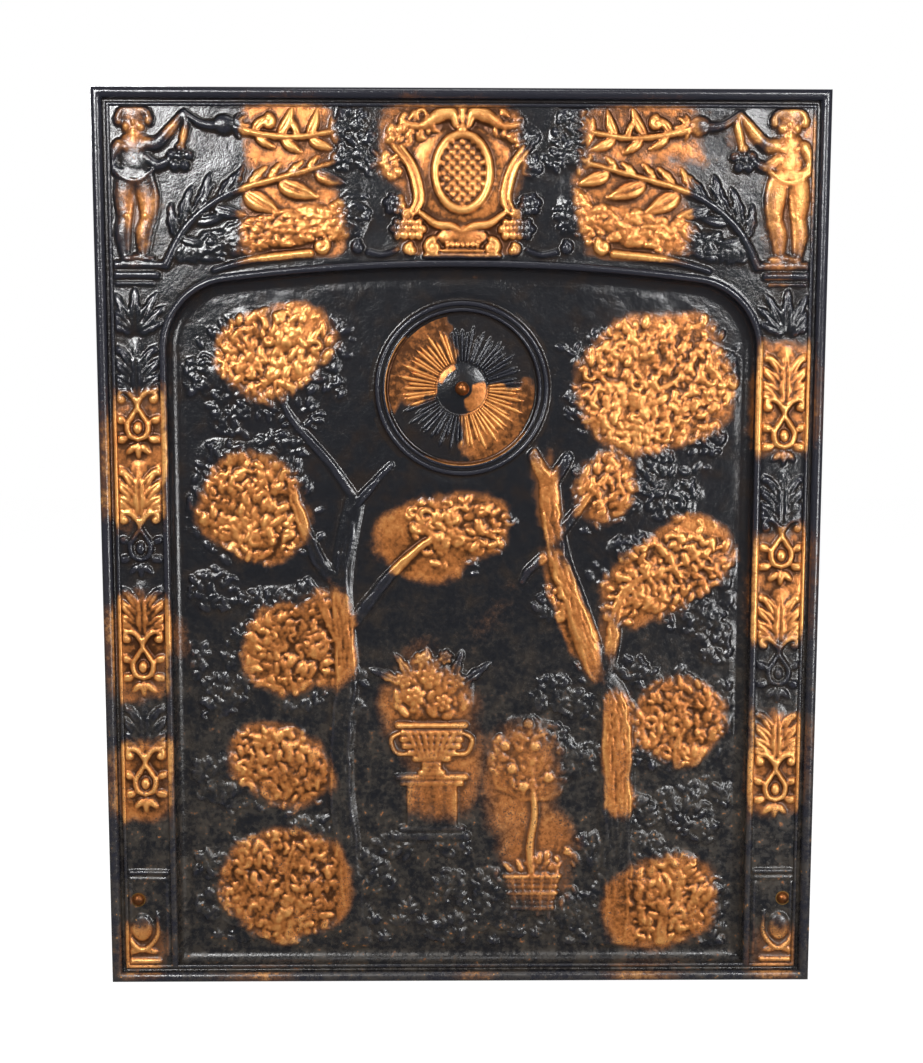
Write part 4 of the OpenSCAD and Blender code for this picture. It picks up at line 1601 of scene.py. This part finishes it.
        relief.dome(0, 642, 22, 10, 4.6)
        for k in range(-3, 4):
            relief.dome(k * 4.2, 634.5, 2.0, 2.6, 5.6)
        relief.bar(0, 630, 17, 1.6, 4.6)
        relief.bar(0, 625.5, 30, 2.8, 4.4)
        ring = [(22.4 * math.cos(a), 694 + 30.4 * math.sin(a)) for a in np.linspace(0, 2 * math.pi, 49)]
        where, across, up = relief.window(0, 694, 22, 30)
        inside = (across / 21) ** 2 + ((up - 694) / 29) ** 2 < 1
        rise, fall = np.sin(math.pi * (across + up) / 8.4), np.sin(math.pi * (across - up) / 8.4)
        lozenges = 1.2 + 3.0 * np.sqrt(np.abs(rise * fall))
        relief.height[where] = np.where(inside, lozenges, relief.height[where])
        relief.stroke(ring, 3.7, 6.4)
        relief.stroke([(0, 728), (0, 734), (0, 746)], (5.6, 2.4, 3.6), 5.4)


@dataclass
class Woodland(Piece):
    """The recessed field: trees, bushes and garden pieces in low relief."""

    pitch: float = 0.8
    half: float = 241.0
    levels: tuple[float, ...] = (22.0, 216.0, 408.0, 612.0)
    most: float = 6.5
    lap: float = 1.3
    hole: float = 74.6

    def build(self) -> list[bpy.types.Object]:
        """Presses the woodland and cuts the field into its pieces.

        Returns:
            The pieces.
        """
        relief = Relief((-self.half, self.half, self.levels[0], self.levels[-1]), self.pitch)
        for press in (self.undergrowth, self.trunks, self.crowns, self.urn, self.clipped_tree):
            press(relief)
        relief.soften(0.75)
        grid_x, grid_z = np.meshgrid(relief.x, relief.z)
        relief.height = self.most * np.tanh(relief.height / self.most)
        relief.height += 0.45 * mottle(grid_x, grid_z, 42, 21) + 0.16 * mottle(grid_x, grid_z, 12, 22)
        inset = self.sheet.inset(grid_x, grid_z)
        away = np.hypot(grid_x, grid_z - self.sheet.flue)
        fade = ease(inset, self.sheet.cove - 0.6, self.sheet.cove + 7) * ease(away, 76.0, 81.0)
        relief.height = np.where(fade > 0, relief.height * fade, 0)
        keep = (inset > self.sheet.cove - self.lap) & (away > self.hole)
        plate = PressedPlate(self.sheet, self.flashes, relief, keep, self.sheet.field)
        pieces = []
        for row, low, high in zip(("low", "middle", "high"), self.levels, self.levels[1:]):
            pieces += plate.pair("woodland_{}_" + row, low, high)
        return pieces

    def undergrowth(self, relief: Relief) -> None:
        """Presses the dark leaves between the trees, thick at both sides and at the foot.

        Args:
            relief: The map.
        """
        rng = np.random.default_rng(3)
        for _ in range(210):
            x = rng.uniform(-236, 236)
            z = rng.uniform(28, 600)
            inner = 92 + 26 * math.sin(z / 60)
            if z > 120 and abs(x) < inner and rng.uniform() < 0.93:
                continue
            if z > 560 or (z > 340 and abs(x) < 150):
                continue
            size = rng.uniform(12, 26)
            seed = int(rng.integers(1 << 30))
            high = size * rng.uniform(0.5, 0.9)
            relief.foliage(x, z, size, high, seed, rng.uniform(2.8, 4.0), 9, 0.3, 0.9)
        for k in range(46):
            x = -232 + k * 10.3 + rng.uniform(-3, 3)
            z, size = 27 + rng.uniform(0, 34), rng.uniform(10, 18)
            relief.fan(x, z, size, 50, 2, 90 + rng.uniform(-20, 20), 2.6)

    def trunks(self, relief: Relief) -> None:
        """Presses the trunks and branches.

        Args:
            relief: The map.
        """
        wood: tuple[tuple[Sequence[Point], Sequence[float], float], ...] = (
            (
                [(-94, 30), (-100, 110), (-106, 190), (-100, 270), (-104, 350), (-92, 420)],
                (15, 12, 11, 9),
                4.6,
            ),
            ([(-104, 350), (-124, 372), (-142, 420), (-150, 446)], (8, 6, 4), 4.2),
            ([(-92, 318), (-78, 336), (-62, 356), (-34, 383), (-6, 398)], (6.5, 5, 3), 4.8),
            ([(-34, 383), (-18, 392), (8, 388), (24, 396)], (3.2, 2), 4.0),
            ([(-95, 412), (-80, 430), (-60, 452)], (5.5, 2.5), 4.2),
            ([(-90, 420), (-110, 450), (-150, 500), (-158, 540)], (5, 4, 2.6), 3.6),
            ([(-104, 300), (-120, 330), (-132, 352)], (7, 4), 4.2),
            ([(135, 28), (137, 90), (136, 150), (135, 210), (132, 246), (120, 268)], (19, 16, 15, 13), 5.4),
            ([(122, 262), (108, 300), (94, 340), (84, 368), (77, 404), (74, 440)], (12, 11, 10, 9), 5.6),
            ([(74, 436), (66, 450), (60, 462)], (7, 5.5), 5.0),
            ([(76, 436), (84, 448), (90, 458)], (6.5, 5), 5.0),
            ([(82, 392), (98, 412), (112, 430), (128, 448)], (6, 4, 2.6), 4.6),
            ([(124, 268), (130, 300), (134, 330), (150, 352), (186, 366), (222, 382)], (8, 6, 4.5, 2.5), 4.8),
            ([(134, 330), (150, 335), (182, 338)], (4, 2.4), 4.2),
            ([(148, 452), (150, 480), (158, 510), (172, 540)], (6, 4.5, 3), 4.2),
            ([(158, 510), (180, 522), (198, 530)], (3.4, 2.2), 3.8),
            ([(70, 372), (58, 362), (52, 352)], (5, 3), 4.0),
            ([(-150, 60), (-152, 90), (-146, 120)], (5, 3), 4.0),
            ([(176, 30), (178, 60), (172, 92)], (6, 3.4), 4.0),
            ([(188, 190), (190, 220), (196, 244)], (5, 3), 4.0),
        )
        rng = np.random.default_rng(17)
        for line, radii, lift in wood:
            smooth = curve_through(line)
            relief.stroke(smooth, radii, lift * 0.62)
            widths = spaced(radii, len(smooth))
            ridges = max(2, int(max(radii) / 2.1))
            for k in range(ridges):
                share = ((k + 0.5) / ridges - 0.5) * 1.5
                first = int(rng.uniform(0, 0.25) * len(smooth))
                last = int(rng.uniform(0.75, 1.0) * len(smooth))
                bark = [
                    (x + share * r + 1.3 * math.sin(z / rng.uniform(8, 10) + 2 * k), z)
                    for (x, z), r in zip(smooth[first:last], widths[first:last])
                ]
                if len(bark) > 2:
                    relief.stroke(bark, (0.9, rng.uniform(1.2, 2.0), 0.9), lift * 0.16, lift * 0.54)

    def crowns(self, relief: Relief) -> None:
        """Presses the crowns of leaves, each over its own flash.

        Args:
            relief: The map.
        """
        crowns = (
            (-158, 541, 66, 52, 5.2),
            (163, 520, 74, 68, 5.2),
            (-178, 424, 58, 54, 4.8),
            (-2, 399, 46, 30, 4.8),
            (122, 436, 34, 32, 4.4),
            (182, 364, 62, 42, 5.4),
            (-148, 296, 54, 46, 4.8),
            (190, 230, 42, 44, 4.6),
            (-158, 190, 52, 40, 4.6),
            (-154, 84, 62, 54, 5.0),
            (178, 72, 54, 46, 5.0),
        )
        for i, (x, z, wide, high, lift) in enumerate(crowns):
            relief.foliage(x, z - 6, wide * 1.22, high * 1.2, 50 + i, lift * 0.5, 9.5, 0.2, 0.3)
            relief.foliage(x, z, wide * 0.88, high * 0.88, 70 + i, lift * 0.8, 11.0, 0.3, 0.5)
            rng = np.random.default_rng(500 + i)
            for k in range(9):
                angle = rng.uniform(0, 2 * math.pi)
                out = rng.uniform(0.2, 0.8)
                px = x + wide * out * math.cos(angle)
                pz = z + high * out * math.sin(angle)
                size = rng.uniform(0.18, 0.32)
                seed = 900 + 31 * i + k
                relief.foliage(px, pz, wide * size, high * size, seed, lift, 10.5, 0.42, 0.7)

    def urn(self, relief: Relief) -> None:
        """Presses the stone urn of flowers on its pedestal.

        Args:
            relief: The map.
        """
        mid = -26.0
        for half, z, wide in ((30, 127, 4.4), (26, 134, 3.2), (25, 175, 3.4), (29, 180, 2.8)):
            relief.bar(mid, z, half, wide, 3.6)
        where, across, _ = relief.window(mid, 155, 22, 19)
        relief.press(where, 2.4 + 0.5 * np.abs(np.sin(math.pi * (across - mid) / 11)))
        for z, half in ((184, 9), (188, 6), (192, 6), (197, 14), (202, 19), (208, 23), (214, 25), (220, 25)):
            relief.bar(mid, z, half, 3.4, 4.0 + 0.02 * half)
        relief.bar(mid, 226, 29, 2.8, 4.8)
        for k in range(-3, 4):
            relief.stroke([(mid + k * 3.2, 198), (mid + k * 6.6, 219)], (1.4, 2.2), 1.4, 3.8)
        for hand in HANDS:
            loop = [(mid + hand * x, z) for x, z in ((26, 220), (35, 214), (31, 202), (20, 201))]
            relief.rope(loop, 1.9, 3.8)
        relief.foliage(mid, 256, 36, 30, 301, 4.2, 11, 0.5, 1.1)
        low_blooms = ((-14, 252, 9), (10, 246, 8), (0, 268, 10), (-24, 266, 7.5))
        high_blooms = ((22, 266, 8), (-8, 284, 7), (12, 286, 6.5))
        for x, z, size in low_blooms + high_blooms:
            relief.flower(mid + x, z, size, 6, 2.2, 2.0)
        for x, turn in ((-30, 150), (30, 30), (-18, 118), (18, 62), (0, 92)):
            relief.leaf(mid + x * 0.8, 262, 34, 10, turn, 4.2, 0.1, 0.5, 3)

    def clipped_tree(self, relief: Relief) -> None:
        """Presses the clipped tree in its tub.

        Args:
            relief: The map.
        """
        mid = 62.0
        for z, half in ((62, 16), (67, 17), (72, 18), (77, 19), (82, 20), (87, 21)):
            relief.bar(mid, z, half, 3.2, 3.6)
        for z, half in ((63, 18), (76, 21), (91, 24)):
            relief.bar(mid, z, half, 2.2, 4.8)
        for k in range(-2, 3):
            relief.stroke([(mid + k * 7, 62), (mid + k * 8.6, 90)], 1.0, 0.9, 3.4)
        for hand in HANDS:
            relief.stroke([(mid + hand * 15, 58), (mid + hand * 15, 53)], 2.6, 3.4)
        relief.rope([(mid, 92), (mid - 2, 118), (mid + 2, 146), (mid, 170)], (4.2, 3.2, 3.0), 4.2)
        relief.foliage(mid, 196, 40, 38, 401, 4.8, 9.5, 0.6, 1.2)
        for x, z in ((-18, 188), (14, 180), (2, 208), (24, 204), (-24, 208), (-4, 228), (-8, 172)):
            relief.dome(mid + x, z, 4.4, 4.4, 2.0, 0, 3.4)
        for k in range(5):
            relief.leaf(mid - 16 + k * 8, 93, 15, 6, 90 + (2 - k) * 22, 3.0, 0, 0.4, 2)


class PressedPlate:
    """A height map over one level of the sheet, to be cut into pieces with a front and a back."""

    def __init__(
        self, sheet: Sheet, flashes: Flashes, relief: Relief, keep: np.ndarray, level: float
    ) -> None:
        """Works out what every piece of the plate shares.

        Args:
            sheet: The sheet's sizes.
            flashes: The flashes of copper.
            relief: The map over the plate.
            keep: Which of its points are metal.
            level: Height of the plate.
        """
        self.sheet = sheet
        self.relief = relief
        self.keep = keep
        self.level = level
        self.across, self.up = np.meshgrid(relief.x, relief.z)
        self.flash = flashes.at(self.across, self.up)
        self.worn = relief.worn()
        self.slope_up, self.slope_across = np.gradient(relief.height, relief.z, relief.x)

    def pair(self, name: str, low: float, high: float) -> list[bpy.types.Object]:
        """Cuts the left and the right piece between two heights.

        Args:
            name: Their name, with a gap for the side.
            low: Lower edge.
            high: Upper edge.

        Returns:
            The two pieces.
        """
        ends = (float(self.relief.x[0]), 0.0, float(self.relief.x[-1]))
        sides = zip(("left", "right"), ends, ends[1:])
        return [self.cut(name.format(side), (start, end, low, high)) for side, start, end in sides]

    def cut(self, name: str, box: Box) -> bpy.types.Object:
        """Cuts one piece out of the plate.

        Args:
            name: Name of the piece.
            box: Its left, right, lower and upper edge.

        Returns:
            The piece.
        """
        parts = [self.skin(Skin.FRONT, 1, box), self.skin(Skin.BACK, 2, box)]
        points = np.concatenate([p[0] for p in parts])
        faces = np.concatenate([parts[0][1], parts[1][1] + len(parts[0][0])])
        mesh = mesh_from(name, points, faces)
        for k, title in ((2, "flash"), (3, "worn")):
            give(mesh, title, np.concatenate([p[k] for p in parts]))
        low, high = points.min(axis=0), points.max(axis=0)
        span = max(high[0] - low[0], (high[2] - low[2]) / 2)
        halves = []
        for k, part in enumerate(parts):
            place = (part[0][:, ::2] - low[::2]) / span * 0.49
            halves.append(place + np.array([0.505 * k, 0.0]))
        lay_map(mesh, np.concatenate(halves))
        mesh.normals_split_custom_set_from_vertices(np.concatenate([p[4] for p in parts]))
        return add_piece(mesh)

    def skin(self, which: Skin, stride: int, box: Box) -> tuple[np.ndarray, ...]:
        """One face of a piece.

        Args:
            which: Front or back.
            stride: Takes every point or every second one.
            box: Left, right, lower and upper edge.

        Returns:
            Points, faces, flash, ridge measure (for wear and painted highlights and shade) and normals.
        """
        left, right = self.reach(self.relief.x, box[0], box[1], stride)
        low, high = self.reach(self.relief.z, box[2], box[3], stride)
        where = (slice(low, high + 1, stride), slice(left, right + 1, stride))
        keep = self.keep[where]
        out = self.level + self.relief.height[where]
        if which is Skin.BACK:
            out = out - self.sheet.thickness
        cells = keep[:-1, :-1] & keep[1:, :-1] & keep[:-1, 1:] & keep[1:, 1:]
        number = np.arange(keep.size).reshape(keep.shape)
        corners = [number[:-1, :-1], number[:-1, 1:], number[1:, 1:], number[1:, :-1]]
        faces = np.stack([c[cells] for c in corners], axis=-1)
        if which is Skin.BACK:
            faces = faces[:, ::-1]
        used, faces = np.unique(faces, return_inverse=True)
        points = self.sheet.place(self.across[where], self.up[where], out).reshape(-1, 3)[used]
        sign = 1 if which is Skin.FRONT else -1
        slopes = [-self.slope_across[where], -np.ones(keep.shape), -self.slope_up[where]]
        normals = sign * np.stack(slopes, axis=-1).reshape(-1, 3)[used]
        normals = normals / np.linalg.norm(normals, axis=1, keepdims=True)
        flash = self.flash[where].ravel()[used]
        worn = self.worn[where].ravel()[used]
        if which is Skin.BACK:
            flash, worn = flash * 0.0, -worn * 0.5
        return points, faces.reshape(-1, 4), flash, worn, normals

    @staticmethod
    def reach(places: np.ndarray, start: float, end: float, stride: int) -> tuple[int, int]:
        """Numbers of the first and last point between two places, on the stride.

        Args:
            places: The map's places along one way.
            start: First place.
            end: Last place.
            stride: Step between the points that are used.

        Returns:
            The two numbers.
        """
        first = int(round(np.searchsorted(places, start - 1e-6) / 2)) * 2
        last = int(round(np.searchsorted(places, end - 1e-6) / 2)) * 2
        last = min(last, (len(places) - 1) // stride * stride)
        return first, last


@dataclass
class FlueStop(Piece):
    """The pull-out stop: a disc with a plain boss and pressed rays."""

    radius: float = 61.5
    level: float = 9.5
    thickness: float = 0.7
    hole: float = 2.52
    boss: float = 21.0
    boss_rise: float = 2.6
    rays: int = 64
    rings: int = 96
    spokes: int = 768

    def build(self) -> bpy.types.Object:
        """Builds the disc.

        Returns:
            The piece.
        """
        radius = np.linspace(self.hole, self.radius, self.rings)[:, None]
        angle = np.linspace(0, 2 * math.pi, self.spokes, endpoint=False)[None, :]
        rise = self.rise(radius, angle)
        x = radius * np.cos(angle)
        z = self.sheet.flue + radius * np.sin(angle)
        rows = [self.sheet.place(x[i], z[i], self.level + rise[i]) for i in range(self.rings)]
        behind = self.level + 0.7 * rise - self.thickness
        back = [self.sheet.place(x[i], z[i], behind[i]) for i in range(self.rings)]
        mesh = swept("stop_disc", rows[::-1] + back, crease=60)
        flash = self.flash(radius, angle)
        give(mesh, "flash", np.concatenate([flash[::-1].ravel(), np.zeros(flash.size)]))
        worn = self.wear(rise, radius)[::-1].ravel()
        give(mesh, "worn", np.concatenate([worn, np.full(flash.size, -0.3)]))
        piece = add_piece(mesh, "stop_face")
        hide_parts("sunburst_disc")
        return piece

    def rise(self, radius: np.ndarray, angle: np.ndarray) -> np.ndarray:
        """Height of the boss and the rays over the disc.

        Args:
            radius: Distances from the centre.
            angle: Angles in radians.

        Returns:
            The heights.
        """
        ball = (self.boss**2 + self.boss_rise**2) / (2 * self.boss_rise)
        boss = np.sqrt(np.maximum(ball**2 - np.minimum(radius, self.boss) ** 2, 0)) - ball + self.boss_rise
        number = angle / (2 * math.pi) * self.rays
        nearest = np.round(number)
        aside = (number - nearest - 0.16 * np.sin(nearest * 53)) / self.rays * 2 * math.pi * radius
        uneven = 0.5 + 0.5 * np.sin(nearest * 97) * np.cos(nearest * 31)
        end = self.boss + 24 + 11 * uneven
        wide = (0.85 + 1.2 * (radius - self.boss) / 34) * (1 - 0.8 * ease(radius, end - 8, end))
        along = ease(radius, self.boss + 0.8, self.boss + 3) * (1 - ease(radius, end - 5, end))
        ridge = np.sqrt(np.clip(1 - (aside / wide) ** 2, 0, 1)) * 1.5 * along
        return np.maximum(boss, ridge)

    def flash(self, radius: np.ndarray, angle: np.ndarray) -> np.ndarray:
        """Share of copper on the disc: two opposite wedges, and the reverse on the boss.

        Args:
            radius: Distances from the centre.
            angle: Angles in radians.

        Returns:
            Values from 0 to 1.
        """
        turn = np.degrees(angle) + 0 * radius
        x = radius * np.cos(angle)
        z = radius * np.sin(angle)
        ragged = 7 * mottle(x, z, 7, 51)
        left = band(turn + ragged, (92, 116), (182, 208))
        low = band((turn + 120) % 360 + ragged, (20, 44), (112, 136))
        wedges = np.maximum(left, low) * ease(radius, self.boss - 2, self.boss + 2)
        boss_low = band((turn + 140) % 360 + ragged, (42, 76), (140, 170))
        on_boss = boss_low * (1 - ease(radius, self.boss - 2, self.boss + 1)) * ease(radius, 7.0, 10.0)
        rim = band(turn + ragged, (100, 116), (150, 176))
        rim = rim * band(radius, (15.0, 18.0), (self.boss - 1, self.boss + 1))
        return np.maximum(np.maximum(wedges, on_boss), rim)

    def wear(self, rise: np.ndarray, radius: np.ndarray) -> np.ndarray:
        """How far each point of the disc stands over its surroundings: it paints highlights on the rays and
        shade on the flat between them, and drives wear.
        """
        return np.where(radius > self.boss + 1, np.clip(rise * 0.8 - 0.45, -1, 1), 0.0)


@dataclass
class Fittings:
    """Collar, knob, springs and fasteners, which keep their solids and get their finishes."""

    finishes: tuple[tuple[Finish, tuple[str, ...]], ...] = (
        (KNOB_COPPER, ("centre_knob", "left_stud", "right_stud")),
        (SPRING_STEEL, ("upright_spring", "level_spring")),
        (COLLAR_STEEL, ("flue_collar",)),
        (WASHER_BRASS, ("left_face_washer", "right_face_washer")),
        (FASTENER_STEEL, ("centre_washer", "centre_nut")),
        (FASTENER_STEEL, ("left_sleeve", "left_turn_bar", "left_bar_washer", "left_nut")),
        (FASTENER_STEEL, ("right_sleeve", "right_turn_bar", "right_bar_washer", "right_nut")),
    )

    def dress(self) -> list[bpy.types.Object]:
        """Gives every kept solid its finish.

        Returns:
            The solids.
        """
        dressed = []
        for finish, names in self.finishes:
            for name in names:
                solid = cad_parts[name]
                for slot in solid.material_slots:
                    slot.material = finish.material()
                dressed.append(solid)
        return dressed


@dataclass
class Studio:
    """Pale floor, white surroundings, soft lamps and the camera."""

    eye: tuple[float, float, float] = (-0.0131, -1.1048, 0.5023)
    pitch: float = 0.0966
    yaw: float = 0.0116
    roll: float = 0.0014
    lens: float = 44.03
    world: float = 0.55
    mirrored: float = 0.12
    glow: float = 1.2

    def build(self) -> None:
        """Sets up the floor, the world, the lamps and the camera."""
        self.floor()
        self.surround()
        self.lamp("key", (-0.8, -1.6, 1.22), 0.26, 0.34, 26)
        self.lamp("window", (0.86, -1.6, 1.2), 0.26, 0.3, 16)
        self.lamp("top", (0.0, -0.4, 1.6), 0.5, 0.4, 2)
        self.lamp("low", (1.25, -1.4, 0.2), 0.2, 0.3, 13)
        self.lamp("rear", (-0.9, 1.5, 1.3), 0.4, 0.6, 20)
        self.camera()
        bpy.context.scene.view_settings.view_transform = "Standard"

    def rays(self, g: Graph) -> tuple[Value, Value]:
        """Tells apart the rays that see the plain background.

        Args:
            g: The graph that asks.

        Returns:
            The share of rays that see it white, which the eye and glass do, and of those from a mirror.
        """
        path = g.node("ShaderNodeLightPath")
        eye = Value(g, path.outputs["Is Camera Ray"])
        glass = Value(g, path.outputs["Is Transmission Ray"])
        return eye | glass, Value(g, path.outputs["Is Glossy Ray"])

    def floor(self) -> None:
        """Lays the pale floor, which keeps a part of the object's shadow."""
        ends = np.array([(-6, -6, 0), (6, -6, 0), (6, 6, 0), (-6, 6, 0)], float)
        mesh = mesh_from("floor", ends, np.array([(0, 1, 2, 3)]))
        floor = bpy.data.objects.new("floor", mesh)
        bpy.context.scene.collection.objects.link(floor)
        paper = bpy.data.materials.new("floor_paper")
        g = Graph(paper)
        matt = g.node("ShaderNodeBsdfDiffuse", None, {"Color": (0.85, 0.85, 0.85, 1)})
        plain, mirror = self.rays(g)
        strength = self.glow - mirror * (self.glow - self.mirrored)
        glow = g.node("ShaderNodeEmission", None, {"Color": WHITE, "Strength": strength})
        share = (plain | mirror) * 0.72 + mirror * 0.28
        inputs = {0: share, 1: matt.outputs[0], 2: glow.outputs[0]}
        mixed = g.node("ShaderNodeMixShader", None, inputs)
        g.node("ShaderNodeOutputMaterial", None, {"Surface": mixed.outputs[0]})
        mesh.materials.append(paper)

    def surround(self) -> None:
        """Makes the surroundings: white to the eye, dim in a mirror, and a plain level of light."""
        world = bpy.data.worlds.new("surround")
        bpy.context.scene.world = world
        g = Graph(world)
        plain, mirror = self.rays(g)
        level: Any = self.world
        for share, strength in ((mirror, self.mirrored), (plain, 1.0)):
            level = g.node("ShaderNodeMix", None, {0: share, 2: level, 3: strength}).outputs[0]
        back = g.node("ShaderNodeBackground", None, {"Color": WHITE, "Strength": level})
        g.node("ShaderNodeOutputWorld", None, {"Surface": back.outputs[0]})

    def lamp(self, name: str, place: Sequence[float], aim: float, size: float, power: float) -> None:
        """Hangs one soft square lamp.

        Args:
            name: Name of the lamp.
            place: Where it hangs.
            aim: Height on the cover's middle line that it points at.
            size: Its side.
            power: Its power in watts.
        """
        light = bpy.data.lights.new(name, "AREA")
        light.energy = power
        light.size = size
        lamp = bpy.data.objects.new(name, light)
        lamp.location = place
        lamp.rotation_mode = "QUATERNION"
        lamp.rotation_quaternion = (Vector((0, 0, aim)) - Vector(place)).to_track_quat("-Z", "Y")
        bpy.context.scene.collection.objects.link(lamp)

    def camera(self) -> None:
        """Sets the camera at the photograph's view."""
        level = Vector((math.cos(self.yaw), -math.sin(self.yaw), 0))
        flat = math.cos(self.pitch)
        ahead = Vector((-level.y * flat, level.x * flat, -math.sin(self.pitch)))
        up = level.cross(ahead)
        right = level * math.cos(self.roll) + up * math.sin(self.roll)
        top = up * math.cos(self.roll) - level * math.sin(self.roll)
        turn = Matrix((right, top, -ahead)).transposed()
        data = bpy.data.cameras.new("camera")
        data.lens = self.lens
        data.sensor_width = 36.0
        data.clip_start = 0.01
        camera = bpy.data.objects.new("camera", data)
        camera.matrix_world = Matrix.Translation(self.eye) @ turn.to_4x4()
        bpy.context.scene.collection.objects.link(camera)
        bpy.context.scene.camera = camera


def corners(box: Iterable) -> list[list[float]]:
    """A box's two corners as plain lists of numbers."""
    return [[float(v) for v in corner] for corner in box]


def main() -> None:
    """Builds the cover round its frame."""
    logging.basicConfig(level=logging.INFO, format="%(name)s: %(message)s")
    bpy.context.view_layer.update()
    makers: tuple[tuple[str, Callable[[], Any]], ...] = (
        ("border", Border().build),
        ("arch", ArchMoulding().build),
        ("ring", FlueRing().build),
        ("frieze and pilasters", PressedGround().build),
        ("woodland", Woodland().build),
        ("stop", FlueStop().build),
        ("fittings", Fittings().dress),
    )
    sheet_pieces = []
    for title, make in makers:
        made = make()
        made = made if isinstance(made, list) else [made]
        if title not in ("stop", "fittings"):
            sheet_pieces += made
        log.info("%s: %s", title, ", ".join(piece.name for piece in made))
    for piece in sheet_pieces:
        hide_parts("face_sheet")
    Studio().build()
    log.info("size noted")


if __name__ == "__main__":
    main()
